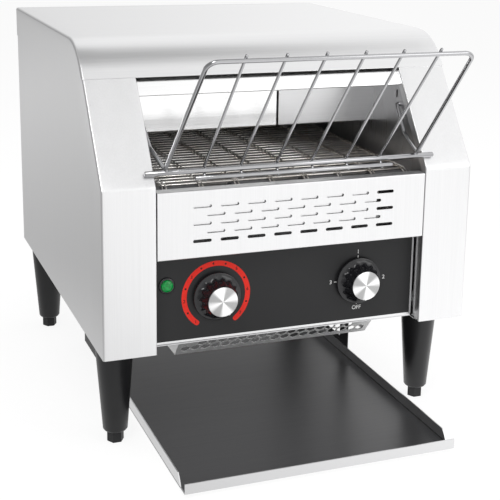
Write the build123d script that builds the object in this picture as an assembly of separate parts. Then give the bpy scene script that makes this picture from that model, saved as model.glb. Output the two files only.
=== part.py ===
from build123d import *
import math
import os

# A countertop conveyor toaster. Everything is worked out in the casing's own frame, in
# millimetres: X to the right, Y from the front of the pillars towards the back, Z up from the
# bottom edge of the side panels. At the end the parts are moved so that the origin lies on the
# surface that the feet stand on, under the centre of the whole object.

# ---- Driving dimensions: casing ------------------------------------------------------------
casing_width = 368.0          # outside of the top cover
casing_depth = 409.0          # front of the pillars to the back of the cover's rear skirt
casing_height = 276.0         # bottom edge of the side panels to the flat of the cover
bend_height = 156.0           # where the front turns from upright to sloping
slope_run = 3.0               # the slope goes back this much ...
slope_rise = 4.0              # ... for this much height
pillar_width = 50.5           # outside of the cover to the pillar's inner edge
pillar_return = 9.0           # depth of the folded-back inner edge of a pillar
sheet = 0.8                   # casing sheet thickness
seam_gap = 0.1                # gap between lapped sheets
bend_radius = 1.2             # inside radius of small sheet bends
cover_skirt = 32.0            # depth of the top cover's skirts
cover_front_radius = 60.0     # large bend at the top cover's front edge
cover_edge_radius = 2.5       # small outside radius along the cover's side edges
side_panel_lap = 6.0          # how far the side panels reach up inside the cover's skirt
panel_edge_radius = 2.0       # outside radius of the pillars' outer front edge
base_sheet = 1.0              # base pan thickness
wall_sheet = 1.0              # inner wall thickness
wall_setback = 1.0            # inner wall's front edge behind the pillar's face
wall_slot_y = 67.9            # upright slot above the rack's hook
wall_slot_lift = 9.6          # slot's middle above the hook's hole
wall_slot_length = 8.0
wall_slot_width = 3.0
rear_flange = 12.0            # rear panel's lower fold

# ---- Driving dimensions: front panels and controls -----------------------------------------
fascia_setback = 16.0         # control panel behind the pillars' front
front_panel_reach = 68.0      # vented panel's lower edge below the casing's bend
front_panel_drop = 5.0        # vented panel's top below the casing's bend
front_panel_gap = 0.8         # side gap between the front panels and the pillars
top_flange = 12.0             # front panel's upper fold
vent_columns = 8
vent_rows = 5
vent_pitch = 26.0
vent_row_pitch = 8.0
vent_margin = 16.0            # lowest row above the vented panel's lower edge
vent_length = 17.5
vent_width = 3.0
backing_gap = 1.2             # between the front panel and the plate behind its slots
backing_lift = 3.0            # backing plate's lower edge above the lowest row
backing_left = 106.0          # left end of the backing plate, from the centre
backing_right = 83.0          # right end of the backing plate, from the centre
panel_sheet = 1.0
control_panel_lap = 23.9      # control panel's reach up behind the vented panel
control_flange = 18.0
overlay_thickness = 0.4
overlay_bottom = 5.2
overlay_gap = 1.0             # between the overlay and the vented panel above it
overlay_side_margin = 2.0     # bright edge left bare at the right of the overlay
shield_depth = 62.0           # heat shield behind the controls
knob_inset = 60.4             # each knob's axis inside the front panels' end
knob_height = 45.3
knob_skirt_radius = 23.0
knob_skirt_thickness = 3.6
knob_grip_radius = 16.6
knob_nose_radius = 15.2
knob_length = 19.0
knob_standoff = 1.2           # between the overlay and the knob's skirt
knob_flutes = 14
knob_flute_radius = 2.6
knob_cavity_radius = 10.5
knob_cavity_depth = 4.0
cap_radius = 14.2
cap_thickness = 1.2
cap_recess = 0.8
shaft_radius = 3.0
shaft_engagement = 11.0       # shaft length inside the knob
control_bush_radius = 4.8
control_nut_radius = 7.5
control_nut_thickness = 2.2
running_gap = 0.05            # radial clearance of shafts and pins in their bores
pot_radius = 12.0
pot_depth = 11.0
pot_lug_pitch = 6.0
pot_lug_width = 1.6
pot_lug_length = 6.0          # below the round body
switch_side = 36.0
switch_depth = 26.0
switch_corner = 6.0
lamp_inset = 12.7             # lamp's axis inside the front panels' left end
lamp_height = 59.7
lamp_bezel_radius = 7.8
lamp_bezel_thickness = 1.8
lamp_lens_radius = 5.9
lamp_lens_rise = 2.6
lamp_lens_round = 1.95
lamp_body_radius = 5.4
lamp_body_length = 26.0

# ---- Driving dimensions: belt and its shafts -----------------------------------------------
belt_side_gap = 11.2          # between the belt's edge and the inner wall
belt_pitch_guess = 11.0       # wanted distance between strands
belt_wire_radius = 1.0
belt_link_width = 1.6
belt_link_thickness = 1.2
belt_link_lift = 0.95         # how far a link bar's middle rides outside its wire's axis
belt_edge = 1.6               # wire left bare at the belt's edges
belt_spaces = 7               # openings between the columns of link bars
belt_drop = 4.0               # belt's top below the casing's bend
sleeve_radius = 15.0
body_gap = 0.3                # clearance between pieces that move against each other
idler_y = 26.0
drive_wall_gap = 57.0         # drive shaft's axis in front of the chute's upright wall
axle_radius = 5.0
sleeve_width = 41.0
sleeve_end_gap = 7.4          # between the outer sleeves and the inner walls
sleeve_count = 4
sprocket_width = 8.0
sprocket_teeth = 9
sprocket_root = 11.5
sprocket_hub_radius = 9.9
bush_radius = 8.0
bush_flange_radius = 10.5
bush_flange = 1.5
bush_length = 7.0
axle_end = 2.0                # idler and drive shaft beyond the bushes

# ---- Driving dimensions: feed mouth and heating --------------------------------------------
hood_inset = 4.0              # hood lip behind the slope of the pillars
hood_gap = 1.0                # hood lip's top below the cover's skirt
hood_lip = 16.0               # height of the hood lip
baffle_y = 120.0
feed_gap = 28.5               # between the belt's top and the baffles
baffle_seam_x = 27.0
baffle_seam = 2.5
baffle_hem = 5.0
reflector_gap = 2.0           # between the reflector and the hood's ceiling
reflector_lip = 9.0
chute_rear_gap = 50.3         # between the chute's upright wall and the rear panel
chute_turn_drop = 36.7        # where the chute's slope would meet its wall, below the shafts
chute_bend = 45.0
chute_end_y = 84.0
chute_end_height = -6.0
chute_nose_y = 116.0          # in front of this the chute is narrower
chute_nose_gap = 15.0         # between the chute's nose and the outlet's ends
lower_reflector_front = 60.0
lower_reflector_drive_gap = 32.0  # its rear end in front of the drive shaft's axis
lower_reflector_drop = 13.2   # its floor below the shafts' axes
lower_reflector_lip = 6.5
heater_radius = 5.0
heater_count = 3
upper_heater_drop = 21.0      # below the upper reflector
upper_heater_first = 155.0
lower_heater_lift = 0.3       # above the shafts' axes
lower_heater_first = 96.0
heater_pitch = 65.0
heater_overhang = 7.0         # tube's reach into the end cap outside the wall
cap_body_radius = 7.4
cap_body_length = 12.0
cap_hole_gap = 0.2
cap_collar = 1.6              # length of the collar outside the wall, twice its rim
terminal_radius = 2.0
terminal_length = 6.0

# ---- Driving dimensions: feed rack ---------------------------------------------------------
rack_frame_radius = 2.0
rack_rod_radius = 2.5
rack_bar_radius = 2.0
rack_wire_radius = 1.3
rack_weld = 0.3               # how far welded wires sink into each other
rack_top_forward = 99.0
rack_top_height = 280.0
rack_side_gap = 8.9           # between the rack's sides and the pillars
rack_taper = 5.2              # each side leans in this far at the top
rack_corner = 10.0
rack_rod_lap = 9.4            # long rod's reach in front of each pillar
rack_rod_climb = 12.6         # rod's place up the slope from the bend
rack_bar_inset = 26.8         # short bar's ends inside the rack's sides
rack_bar_y = 1.5
rack_bar_climb = 6.0          # short bar above the casing's bend
rack_wires = 6
rack_wire_margin = 37.2       # outer wires inside the rack's sides
rack_wire_tip = 3.5           # wire ends standing above the top bar
rack_wire_turn = 2.8          # wires turn this far below the long rod
rack_hinge_y = 61.8
rack_hinge_drop = 19.2        # hooks below the hood's ceiling
rack_arm_gap = 3.2            # between the side arms' rear ends and the inner walls
rack_knee_spread = 4.0        # side arms' knees outside the rack's sides
rack_knee_y = 38.5
rack_knee_climb = 27.5        # knees above the casing's bend
rack_hook_bend = 2.4
rack_knee_bend = 8.0
rack_vertex_bend = 3.0
rack_wire_bend = 3.0
rack_vertex_lean = 26.6       # the side arms' vertex leans forward of the long rod
rack_vertex_sink = 0.8        # how far the vertex's corner sinks into the long rod
rack_hook_reach = 5.0         # hook beyond the inner wall

# ---- Driving dimensions: deflector, tray and feet ------------------------------------------
outlet_front = 56.0           # drop opening in the base pan
outlet_back = 113.0
outlet_side_gap = 7.4         # between the outlet's ends and the inner walls
deflector_inset = 25.7        # deflector's ends inside the outlet's
deflector_fold_y = 32.3
deflector_foot_y = 54.0
deflector_foot_height = -23.9
deflector_flange = 8.0
deflector_sheet = 1.0
gusset_back = 84.0
guard_hole_radius = 5.1       # to the corners of the six-sided holes
guard_hole_pitch = 10.25
guard_hole_rows = 2
guard_hole_fewer = 3          # the upper row has this many holes fewer
guard_row_pitch = 8.9
guard_first_row = 9.6
tray_side_gap = 1.0           # between the tray's sides and the pillars' inner edges
tray_front = 82.0
tray_stop = 20.0              # tray's rear end in front of the guides'
tray_floor_height = -98.0
tray_sheet = 1.0
tray_wall = 11.5
tray_lip = 10.5
tray_wall_stop = 22.0         # side walls end this far behind the lip
tray_wall_chamfer = 8.0
tray_pad_radius = 7.0
tray_pad_inset_x = 32.0
tray_pad_front = 46.0
tray_pad_inset_y = 50.0       # rear pads in front of the tray's rear end
guide_rear_gap = 103.3        # between the guides and the rear panel
guide_length = 145.0
guide_shelf = 9.0             # ledge under the tray's edge
guide_strap = 20.0
guide_sheet = 1.2
guide_tab = 12.0
guide_rail = 19.0             # height of the rail beside the tray
foot_height = 102.0
foot_inset = 23.1             # feet's axes inside the top cover's sides
foot_top_radius = 18.7
foot_bottom_radius = 11.8
foot_chamfer = 2.6
adjuster_exposed = 11.0
adjuster_radius = 8.1
adjuster_stem_radius = 4.0
adjuster_stem = 42.0
foot_bore_spare = 2.0
front_foot_y = 50.0
rear_foot_inset = 32.1        # rear feet's axes in front of the rear panel's face

# ---- Driving dimensions: drive, cooling and electrics --------------------------------------
chain_pitch = 6.35
drive_gear_teeth = 14
motor_gear_teeth = 10
chain_roller_radius = 1.6
chain_plate_height = 5.6
chain_plate = 0.9
chain_inner_width = 3.8
gear_width = 2.6
gear_tooth_gap = 0.25
gear_tooth_depth = 2.2
gear_hub_radius = 7.5
gear_hub_length = 4.0
chain_plane = 9.0             # chain's middle plane beyond the inner wall
motor_offset = 30.0           # motor's axis behind the drive shaft's
motor_height = 60.0
gearbox_radius = 25.0
gearbox_length = 12.0
motor_can_radius = 21.0
motor_can_length = 16.0
motor_shaft_radius = 3.5
bracket_half = 30.0
bracket_front = 40.0          # plate's front edge from the motor's axis
bracket_back = 26.0
bracket_sheet = 1.5
bracket_post_radius = 4.0
bracket_offset = 14.0         # motor bracket's plate beyond the inner wall
fan_side = 80.0
fan_thickness = 25.0
fan_bore_radius = 37.0
fan_hub_radius = 15.0
fan_strut = 3.0
fan_wall = 1.0                # barrel's wall at its thinnest
fan_stator_thickness = 3.0
fan_blades = 7
fan_blade_thickness = 1.4
fan_blade_tilt = 38.0
fan_blade_gap = 1.2
fan_x = 0.0
fan_drop = 124.0              # fan's axis below the cover's skirt
fan_pin_radius = 2.0
fan_corner = 5.0
guard_wire = 1.2
guard_rings = 3
gland_offset = 4.6            # gland's axis outside the left inner wall
gland_height = 34.0
gland_bore_radius = 4.5
gland_thread_radius = 8.0
gland_nut_radius = 12.0
gland_nut = 5.0
gland_dome = 12.0
gland_inside = 9.0
terminal_offset = 22.6        # terminal block's middle outside the left inner wall
terminal_rear_gap = 77.3      # between the terminal block and the rear panel
terminal_block_length = 48.0
terminal_block_width = 20.0
terminal_block_height = 18.0
terminal_ways = 4
terminal_screw_radius = 2.6
terminal_screw_depth = 5.0
terminal_rib = 5.0            # height of the ribs between ways
cutout_lift = 6.0             # thermal cutout above the upper heaters
cutout_radius = 12.0
cutout_depth = 8.0
cutout_tab_length = 8.0
rear_slot_length = 46.0
rear_slot_width = 3.5
rear_slot_pitch = 9.0
rear_slot_rows = 5
rear_slot_columns = 4
rear_slot_spread = 62.0
rear_slot_drop = 58.0         # lowest row of rear slots below the cover's skirt
hexagon_sides = 6             # nuts, adjusters, screw sockets and guard holes
hexagon_turn = 30.0           # turns a hexagon's corner upwards
screw_head_radius = 3.6
screw_head_height = 2.0
screw_radius = 1.9
screw_length = 7.0
screw_socket = 1.3
rear_screw_margin = 9.0
foot_screw_radius = 3.8       # hole in the casing over each foot

# ---- Values worked out from the driving dimensions -----------------------------------------
half_width = casing_width / 2
slope = math.hypot(slope_run, slope_rise)
back_share = slope_run / slope
rise_share = slope_rise / slope
panel_outer = half_width - sheet - seam_gap              # side panel's outer face
pillar_inner = half_width - pillar_width                 # pillar's inner edge
wall_inner = pillar_inner + sheet + seam_gap             # face of the inner wall in the mouth
wall_outer = wall_inner + wall_sheet
skirt_bottom = casing_height - cover_skirt
panel_top = skirt_bottom + side_panel_lap
base_bottom = sheet + seam_gap
base_top = base_bottom + base_sheet
rear_outer = casing_depth - sheet - seam_gap             # rear panel's outer face
rear_inner = rear_outer - sheet
front_half = pillar_inner - front_panel_gap
overlay_face = fascia_setback - overlay_thickness
front_panel_bottom = bend_height - front_panel_reach
overlay_top = front_panel_bottom - overlay_gap
front_panel_top = bend_height - front_panel_drop
control_panel_top = front_panel_bottom + control_panel_lap
vent_first_row = front_panel_bottom + vent_margin
backing_bottom = vent_first_row + backing_lift
knob_spread = front_half - knob_inset
lamp_across = front_half - lamp_inset
hood_top = skirt_bottom - hood_gap
hood_bottom = hood_top - hood_lip
reflector_top = hood_bottom - reflector_gap
chute_wall_top = reflector_top - reflector_lip
chute_wall_y = rear_inner - chute_rear_gap
drive_y = chute_wall_y - drive_wall_gap
motor_y = drive_y + motor_offset
belt_top = bend_height - belt_drop
baffle_bottom = belt_top + feed_gap
belt_half_width = wall_inner - belt_side_gap
sleeve_span = 2 * (wall_inner - sleeve_end_gap) - sleeve_width   # between the outer sleeves' middles
sleeve_pitch = sleeve_span / (sleeve_count - 1)
wire_path_radius = sleeve_radius + body_gap + belt_wire_radius
axle_height = belt_top - belt_wire_radius - wire_path_radius
chute_turn_height = axle_height - chute_turn_drop
lower_reflector_back = drive_y - lower_reflector_drive_gap
lower_reflector_height = axle_height - lower_reflector_drop
lower_heater_height = axle_height + lower_heater_lift
upper_heater_height = reflector_top - upper_heater_drop
cutout_height = upper_heater_height + cutout_lift
rack_half_width = pillar_inner - rack_side_gap
rack_rod_half_length = pillar_inner + rack_rod_lap
rack_bar_half_length = rack_half_width - rack_bar_inset
rack_bar_height = bend_height + rack_bar_climb
rack_wire_pitch = 2 * (rack_half_width - rack_wire_margin) / (rack_wires - 1)
rack_hinge_height = hood_bottom - rack_hinge_drop
wall_slot_height = rack_hinge_height + wall_slot_lift
rack_arm_x = wall_inner - rack_arm_gap
rack_rod_y = rack_rod_climb * back_share - (rack_rod_radius + body_gap) * rise_share
rack_rod_height = bend_height + rack_rod_climb * rise_share + (rack_rod_radius + body_gap) * back_share
outlet_half_width = wall_inner - outlet_side_gap
chute_nose_half_width = outlet_half_width - chute_nose_gap
deflector_half_width = outlet_half_width - deflector_inset
tray_half_width = pillar_inner - tray_side_gap
guide_back = rear_inner - guide_rear_gap
guide_front = guide_back - guide_length
tray_back = guide_back - tray_stop
tray_pad_back = tray_back - tray_pad_inset_y
foot_x = half_width - foot_inset
rear_foot_y = rear_outer - rear_foot_inset
foot_bottom = adjuster_exposed - foot_height             # lower end of a foot
gear_x = wall_outer + chain_plane
bracket_x = wall_outer + bracket_offset
fan_height = skirt_bottom - fan_drop
rear_slot_height = skirt_bottom - rear_slot_drop
gland_x = -(wall_outer + gland_offset)
terminal_block_x = -(wall_outer + terminal_offset)
terminal_block_y = rear_inner - terminal_rear_gap
vertex_gap = rack_frame_radius + rack_rod_radius - rack_vertex_sink
front_most = rack_top_forward + rack_frame_radius
rear_most = rear_outer + gland_nut + gland_dome
depth_centre = (rear_most - front_most) / 2


# ---- Shape helpers -------------------------------------------------------------------------
def across(face, x_low, x_high):
    """A side-view (Y, Z) sketch extruded from one X to another."""
    return extrude(Plane.YZ.offset(x_low) * face, x_high - x_low)


def through(face, y_low, y_high):
    """A front-view (X, Z) sketch extruded from one Y to another."""
    plane = Plane((0, y_high, 0), x_dir=(1, 0, 0), z_dir=(0, -1, 0))
    return extrude(plane * face, y_high - y_low)


def folded(points, x_low, x_high, thickness=sheet, radius=bend_radius):
    """Sheet folded along a side-view path, its metal on the left of the path's direction."""
    path = FilletPolyline(*points, radius=radius) if len(points) > 2 else Line(*points)
    outline = offset(path, thickness, side=Side.LEFT)
    return across(make_face(outline.edges()), x_low, x_high)


def block(x_low, x_high, y_low, y_high, z_low, z_high):
    centre = ((x_low + x_high) / 2, (y_low + y_high) / 2, (z_low + z_high) / 2)
    return Pos(*centre) * Box(x_high - x_low, y_high - y_low, z_high - z_low)


def rod_x(x_low, x_high, y, z, radius):
    return across(Pos(y, z) * Circle(radius), x_low, x_high)


def rod_y(x, z, y_low, y_high, radius):
    return through(Pos(x, z) * Circle(radius), y_low, y_high)


def rod_z(x, y, z_low, z_high, radius):
    return Pos(x, y, z_low) * extrude(Circle(radius), z_high - z_low)


def wire_along(path, radius):
    """Round wire along a path of lines and tangent arcs."""
    return sweep(Plane(origin=path @ 0, z_dir=path % 0) * Circle(radius), path=path)


def turned_y(points, x, z):
    """A (radius, Y) profile revolved about an axis along Y through (x, z)."""
    return Pos(x, 0, z) * revolve(make_face(Polyline(*points, close=True)), Axis.Y)


def both_sides(shape):
    """The shape and its mirror image across the centre plane, as separate solids."""
    return group(shape.solids() + mirror(shape, about=Plane.YZ).solids())


def left_of(shape):
    return mirror(shape, about=Plane.YZ)


def group(solids):
    return Compound(list(solids))


def front_at(z, inset):
    """Y of the casing's front line at a height, moved inwards by the inset."""
    upright_top = bend_height - inset * (1 - rise_share) / back_share
    if z <= upright_top:
        return inset
    return (inset + back_share * (z - bend_height)) / rise_share


def casing_outline(inset, z_low, z_high, y_back):
    """Side view of the casing, its front line moved inwards by the inset."""
    corner = bend_height - inset * (1 - rise_share) / back_share
    points = [(y_back, z_low), (front_at(z_low, inset), z_low)]
    if z_low < corner < z_high:
        points.append((inset, corner))
    points += [(front_at(z_high, inset), z_high), (y_back, z_high)]
    return make_face(Polyline(*points, close=True))


# ---- Casing --------------------------------------------------------------------------------
def cover_hull(inset, half, top, back, radius, edge_radius, low):
    """Closed solid of the cover's shape: sloping front, large front bend, rounded side edges."""
    face = casing_outline(inset, low, top, back)
    corner = min(face.vertices(), key=lambda v: abs(v.Y - top) + abs(v.X - front_at(top, inset)))
    hull = across(fillet(corner, radius), -half, half)
    rims = [e for e in hull.edges() if cover_rim(e, half, low, back)]
    return fillet(rims, edge_radius)


def cover_rim(edge, half, low, back):
    """True for the edges along the top and front at either side of the cover."""
    middle = edge @ 0.5
    on_side = abs(abs(middle.X) - half) < seam_gap
    return on_side and middle.Z > low + seam_gap and middle.Y < back - seam_gap


def top_cover():
    proud = -(sheet + seam_gap)
    outer = cover_hull(proud, half_width, casing_height, casing_depth,
                       cover_front_radius, cover_edge_radius, skirt_bottom)
    inner = cover_hull(proud + sheet, half_width - sheet, casing_height - sheet, casing_depth - sheet,
                       cover_front_radius - sheet, cover_edge_radius - sheet, skirt_bottom - sheet)
    return outer - inner


def side_panel():
    """Right side panel: outer plate, front pillar, folded-back inner edge and bottom flange."""
    plate = across(casing_outline(0, 0, panel_top, rear_outer), pillar_inner, panel_outer)
    plate = round_pillar(plate, panel_outer, 0, panel_edge_radius)
    hollow = casing_outline(sheet, sheet, panel_top + sheet, casing_depth)
    hollow = across(hollow, pillar_inner + sheet, panel_outer - sheet)
    plate -= round_pillar(hollow, panel_outer - sheet, sheet, panel_edge_radius - sheet)
    behind_return = casing_outline(pillar_return, sheet, panel_top + sheet, casing_depth)
    plate -= across(behind_return, pillar_inner - sheet, panel_outer - sheet)
    plate -= across(rack_hook_hole(), pillar_inner - sheet, pillar_inner + 2 * sheet)
    plate -= foot_screw_holes()
    return plate


def round_pillar(shape, x, inset, radius):
    """Rounds the pillar's outer front edge, upright and sloping."""
    rims = [e for e in shape.edges()
            if abs((e @ 0.5).X - x) < seam_gap and abs((e @ 0.5).Y - front_at((e @ 0.5).Z, inset)) < seam_gap]
    return fillet([e for e in rims if abs((e % 0.5).Z) > 1 / 2], radius)


def foot_screw_holes():
    return [rod_z(foot_x, y, -sheet, base_top + sheet, foot_screw_radius)
            for y in (front_foot_y, rear_foot_y)]


def rear_panel():
    inner_half = panel_outer - sheet - seam_gap
    path = [(rear_outer - rear_flange, base_top), (rear_outer, base_top), (rear_outer, panel_top)]
    panel = folded(path, -inner_half, inner_half)
    panel -= rod_y(fan_x, fan_height, rear_inner - sheet, casing_depth, fan_bore_radius)
    panel -= rod_y(gland_x, gland_height, rear_inner - sheet, casing_depth,
                   gland_thread_radius + seam_gap)
    slots = Sketch() + [
        Pos((column - (rear_slot_columns - 1) / 2) * rear_slot_spread,
            rear_slot_height + row * rear_slot_pitch) * SlotOverall(rear_slot_length, rear_slot_width)
        for column in range(rear_slot_columns) for row in range(rear_slot_rows)]
    panel -= through(slots, rear_inner - sheet, casing_depth)
    panel -= [rod_y(x, z, rear_inner - sheet, casing_depth, screw_radius + running_gap)
              for x, z in rear_screw_places() + fan_screw_places()]
    return panel


def fan_screw_places():
    reach = fan_side / 2 - fan_corner
    return [(fan_x + x, fan_height + z) for x in (-reach, reach) for z in (-reach, reach)]


def rear_screw_places():
    x = panel_outer - sheet - rear_screw_margin
    heights = (base_top + rear_screw_margin, panel_top / 2, skirt_bottom - rear_screw_margin)
    return [(side * x, z) for side in (-1, 1) for z in heights]


def base_pan():
    half = panel_outer - sheet - seam_gap
    front = fascia_setback + panel_sheet + seam_gap
    pan = block(-half, half, front, rear_inner - seam_gap, base_bottom, base_top)
    pan -= block(-outlet_half_width, outlet_half_width, outlet_front, outlet_back, 0, base_top + sheet)
    holes = foot_screw_holes()
    return pan - holes - [left_of(hole) for hole in holes]


def inner_wall():
    wall = across(casing_outline(wall_setback, base_top, panel_top - seam_gap, chute_wall_y - seam_gap),
                  wall_inner, wall_outer)
    holes = [rack_hook_hole()]
    holes += [Pos(y, axle_height) * Circle(bush_radius + running_gap) for y in (idler_y, drive_y)]
    holes += [Pos(y, z) * Circle(cap_body_radius + cap_hole_gap) for y, z in heater_places()]
    holes.append(Pos(wall_slot_y, wall_slot_height) * Rot(0, 0, 90)
                 * SlotOverall(wall_slot_length, wall_slot_width))
    return wall - [across(hole, wall_inner - sheet, wall_outer + sheet) for hole in holes]


def rack_hook_hole():
    return Pos(rack_hinge_y, rack_hinge_height) * Circle(rack_frame_radius + running_gap)


# ---- Front panels and controls -------------------------------------------------------------
def vented_front_panel():
    path = [(top_flange, front_panel_top), (0, front_panel_top),
            (0, front_panel_bottom), (fascia_setback - 2 * seam_gap, front_panel_bottom)]
    slots = Sketch()
    for row in range(vent_rows):
        columns = vent_columns - row % 2
        for column in range(columns):
            x = (column - (columns - 1) / 2) * vent_pitch
            slots += Pos(x, vent_first_row + row * vent_row_pitch) * SlotOverall(vent_length, vent_width)
    return folded(path, -front_half, front_half) - through(slots, -sheet, 2 * sheet)


def slot_backing_plate():
    top = front_panel_top - sheet
    face = sheet + backing_gap
    path = [(top_flange - sheet, top), (face, top), (face, backing_bottom)]
    return folded(path, -backing_left, backing_right)


def control_panel():
    path = [(fascia_setback, control_panel_top), (fascia_setback, base_top),
            (fascia_setback + control_flange, base_top)]
    panel = folded(path, -front_half, front_half, panel_sheet)
    return panel - control_holes(fascia_setback - panel_sheet, fascia_setback + 2 * panel_sheet)


def control_holes(y_low, y_high):
    """Holes for the two control bushes and the lamp body."""
    holes = [rod_y(side * knob_spread, knob_height, y_low, y_high, control_bush_radius + seam_gap)
             for side in (-1, 1)]
    return holes + [rod_y(-lamp_across, lamp_height, y_low, y_high, lamp_body_radius + seam_gap)]


def control_overlay():
    plate = block(-front_half, front_half - overlay_side_margin, overlay_face, fascia_setback,
                  overlay_bottom, overlay_top)
    return plate - control_holes(overlay_face - sheet, fascia_setback + sheet)


def control_heat_shield():
    top = control_panel_top + sheet
    path = [(shield_depth, base_top), (shield_depth, top), (fascia_setback, top)]
    return folded(path, -wall_inner, wall_inner)


def knob(x):
    """Fluted knob: flared skirt, tapering grip, hollow back and a bore for its shaft."""
    back = overlay_face - knob_standoff
    nose = back - knob_length
    skirt_front = back - knob_skirt_thickness
    flare = skirt_front - knob_skirt_thickness
    profile = [(0, back), (knob_skirt_radius, back), (knob_skirt_radius, skirt_front),
               (knob_grip_radius + knob_flute_radius, flare), (knob_grip_radius, flare - knob_flute_radius),
               (knob_nose_radius, nose), (0, nose)]
    body = turned_y(profile, x, knob_height)
    for step in range(knob_flutes):
        angle = math.radians(step * 360 / knob_flutes)
        reach = knob_grip_radius + knob_flute_radius / 2
        body -= rod_y(x + reach * math.cos(angle), knob_height + reach * math.sin(angle),
                      nose - sheet, flare - seam_gap, knob_flute_radius)
    body -= rod_y(x, knob_height, back - knob_cavity_depth, back + sheet, knob_cavity_radius)
    body -= rod_y(x, knob_height, shaft_tip(), back, shaft_radius + running_gap)
    return body - rod_y(x, knob_height, nose - sheet, nose + cap_recess, cap_radius + running_gap)


def shaft_tip():
    return overlay_face - knob_standoff - knob_cavity_depth - shaft_engagement


def knob_cap(x):
    """Turned metal cap set into the knob's nose, with a chamfered rim."""
    nose = overlay_face - knob_standoff - knob_length
    seat = nose + cap_recess
    front = seat - cap_thickness
    rim = cap_radius - cap_recess
    profile = [(0, seat), (cap_radius, seat), (cap_radius, nose), (rim, front), (0, front)]
    return turned_y(profile, x, knob_height)


def control_shaft(x, depth):
    return rod_y(x, knob_height, shaft_tip(), fascia_setback + panel_sheet + depth / 2, shaft_radius)


def control_bush(x):
    """Threaded bush and nut that clamp a control to the panel, bored for its shaft."""
    nut = through(Pos(x, knob_height) * RegularPolygon(control_nut_radius, hexagon_sides),
                  overlay_face - control_nut_thickness, overlay_face)
    bush = rod_y(x, knob_height, overlay_face - control_nut_thickness - sheet,
                 fascia_setback + panel_sheet + sheet, control_bush_radius)
    return nut + bush


def shaft_bore(x, depth):
    return rod_y(x, knob_height, 0, fascia_setback + panel_sheet + depth / 2 + body_gap,
                 shaft_radius + running_gap)


def speed_potentiometer():
    x = -knob_spread
    back = fascia_setback + panel_sheet
    body = rod_y(x, knob_height, back, back + pot_depth, pot_radius)
    lug_y = back + pot_depth / 2
    low = knob_height - pot_radius - pot_lug_length
    lugs = []
    for step in (-1, 0, 1):
        lug_x = x + step * pot_lug_pitch
        lugs.append(block(lug_x - pot_lug_width / 2, lug_x + pot_lug_width / 2, lug_y, lug_y + sheet,
                          low, knob_height))
    return body + lugs + control_bush(x) - shaft_bore(x, pot_depth)


def selector_switch():
    x = knob_spread
    back = fascia_setback + panel_sheet
    half = switch_side / 2
    body = block(x - half, x + half, back, back + switch_depth, knob_height - half, knob_height + half)
    body = chamfer(body.edges().filter_by(Axis.Y), switch_corner)
    layers = [block(x - half, x + half, y, y + sheet, knob_height - half, knob_height + half)
              for y in (back + switch_depth / 3, back + switch_depth * 2 / 3)]
    return body + layers + control_bush(x) - shaft_bore(x, switch_depth)


def lamp_bezel():
    ring = turned_y([(lamp_lens_radius + running_gap, overlay_face),
                     (lamp_bezel_radius, overlay_face),
                     (lamp_bezel_radius - lamp_bezel_thickness / 2, overlay_face - lamp_bezel_thickness),
                     (lamp_lens_radius + running_gap, overlay_face - lamp_bezel_thickness)],
                    -lamp_across, lamp_height)
    return ring


def lamp_lens():
    """Green lens, domed in front, on its body behind the panel."""
    front = overlay_face - lamp_bezel_thickness - lamp_lens_rise
    lens = rod_y(-lamp_across, lamp_height, front, overlay_face, lamp_lens_radius)
    lens = fillet(lens.edges().group_by(Axis.Y)[0], lamp_lens_round)
    body = rod_y(-lamp_across, lamp_height, overlay_face, overlay_face + lamp_body_length, lamp_body_radius)
    return lens + body


# ---- Feed mouth and heating ----------------------------------------------------------------
def feed_hood():
    """Lip under the cover's front edge and the ceiling of the feed mouth."""
    path = [(front_at(hood_top, hood_inset), hood_top), (front_at(hood_bottom, hood_inset), hood_bottom),
            (baffle_y, hood_bottom)]
    half = pillar_inner - seam_gap
    return folded(path, -half, half)


def front_baffle(x_low, x_high):
    path = [(baffle_y, hood_bottom - seam_gap), (baffle_y, baffle_bottom),
            (baffle_y + baffle_hem, baffle_bottom)]
    return folded(path, x_low, x_high)


def upper_reflector():
    front = baffle_y + sheet + seam_gap
    back = chute_wall_y - seam_gap
    low = reflector_top - reflector_lip
    path = [(back, low), (back, reflector_top), (front, reflector_top), (front, low)]
    return folded(path, -wall_inner, wall_inner)


def lower_reflector():
    rim = lower_reflector_height + lower_reflector_lip
    path = [(lower_reflector_front, rim), (lower_reflector_front, lower_reflector_height),
            (lower_reflector_back, lower_reflector_height), (lower_reflector_back, rim)]
    return folded(path, -wall_inner, wall_inner)


def discharge_chute():
    """Upright guide behind the belt that bends into the slope under it, narrower at the end."""
    path = [(chute_end_y, chute_end_height), (chute_wall_y, chute_turn_height),
            (chute_wall_y, chute_wall_top)]
    chute = folded(path, -wall_inner, wall_inner, radius=chute_bend)
    for side in (-1, 1):
        edge = side * chute_nose_half_width
        far = side * half_width
        chute -= block(min(edge, far), max(edge, far), 0, chute_nose_y, chute_end_height - chute_bend,
                       chute_turn_height)
    return chute


def heater_places():
    upper = [(upper_heater_first + step * heater_pitch, upper_heater_height)
             for step in range(heater_count)]
    lower = [(lower_heater_first + step * heater_pitch, lower_heater_height)
             for step in range(heater_count)]
    return upper + lower


def heater_tubes(places):
    end = wall_outer + heater_overhang
    return group(rod_x(-end, end, y, z, heater_radius).solid() for y, z in places)


def heater_end_caps():
    """Ceramic caps in the inner walls, each with its terminal pin."""
    caps = []
    for y, z in heater_places():
        start = wall_inner - sheet
        cap = rod_x(start, start + cap_body_length, y, z, cap_body_radius)
        collar_start = wall_outer + seam_gap
        collar = rod_x(collar_start, collar_start + cap_collar, y, z, cap_body_radius + cap_collar / 2)
        pin = rod_x(start + cap_body_length, start + cap_body_length + terminal_length, y, z, terminal_radius)
        bore = rod_x(start - sheet, wall_outer + heater_overhang + seam_gap, y, z,
                     heater_radius + running_gap)
        caps.append((cap + collar + pin - bore).solid())
    return both_sides(group(caps))


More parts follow.
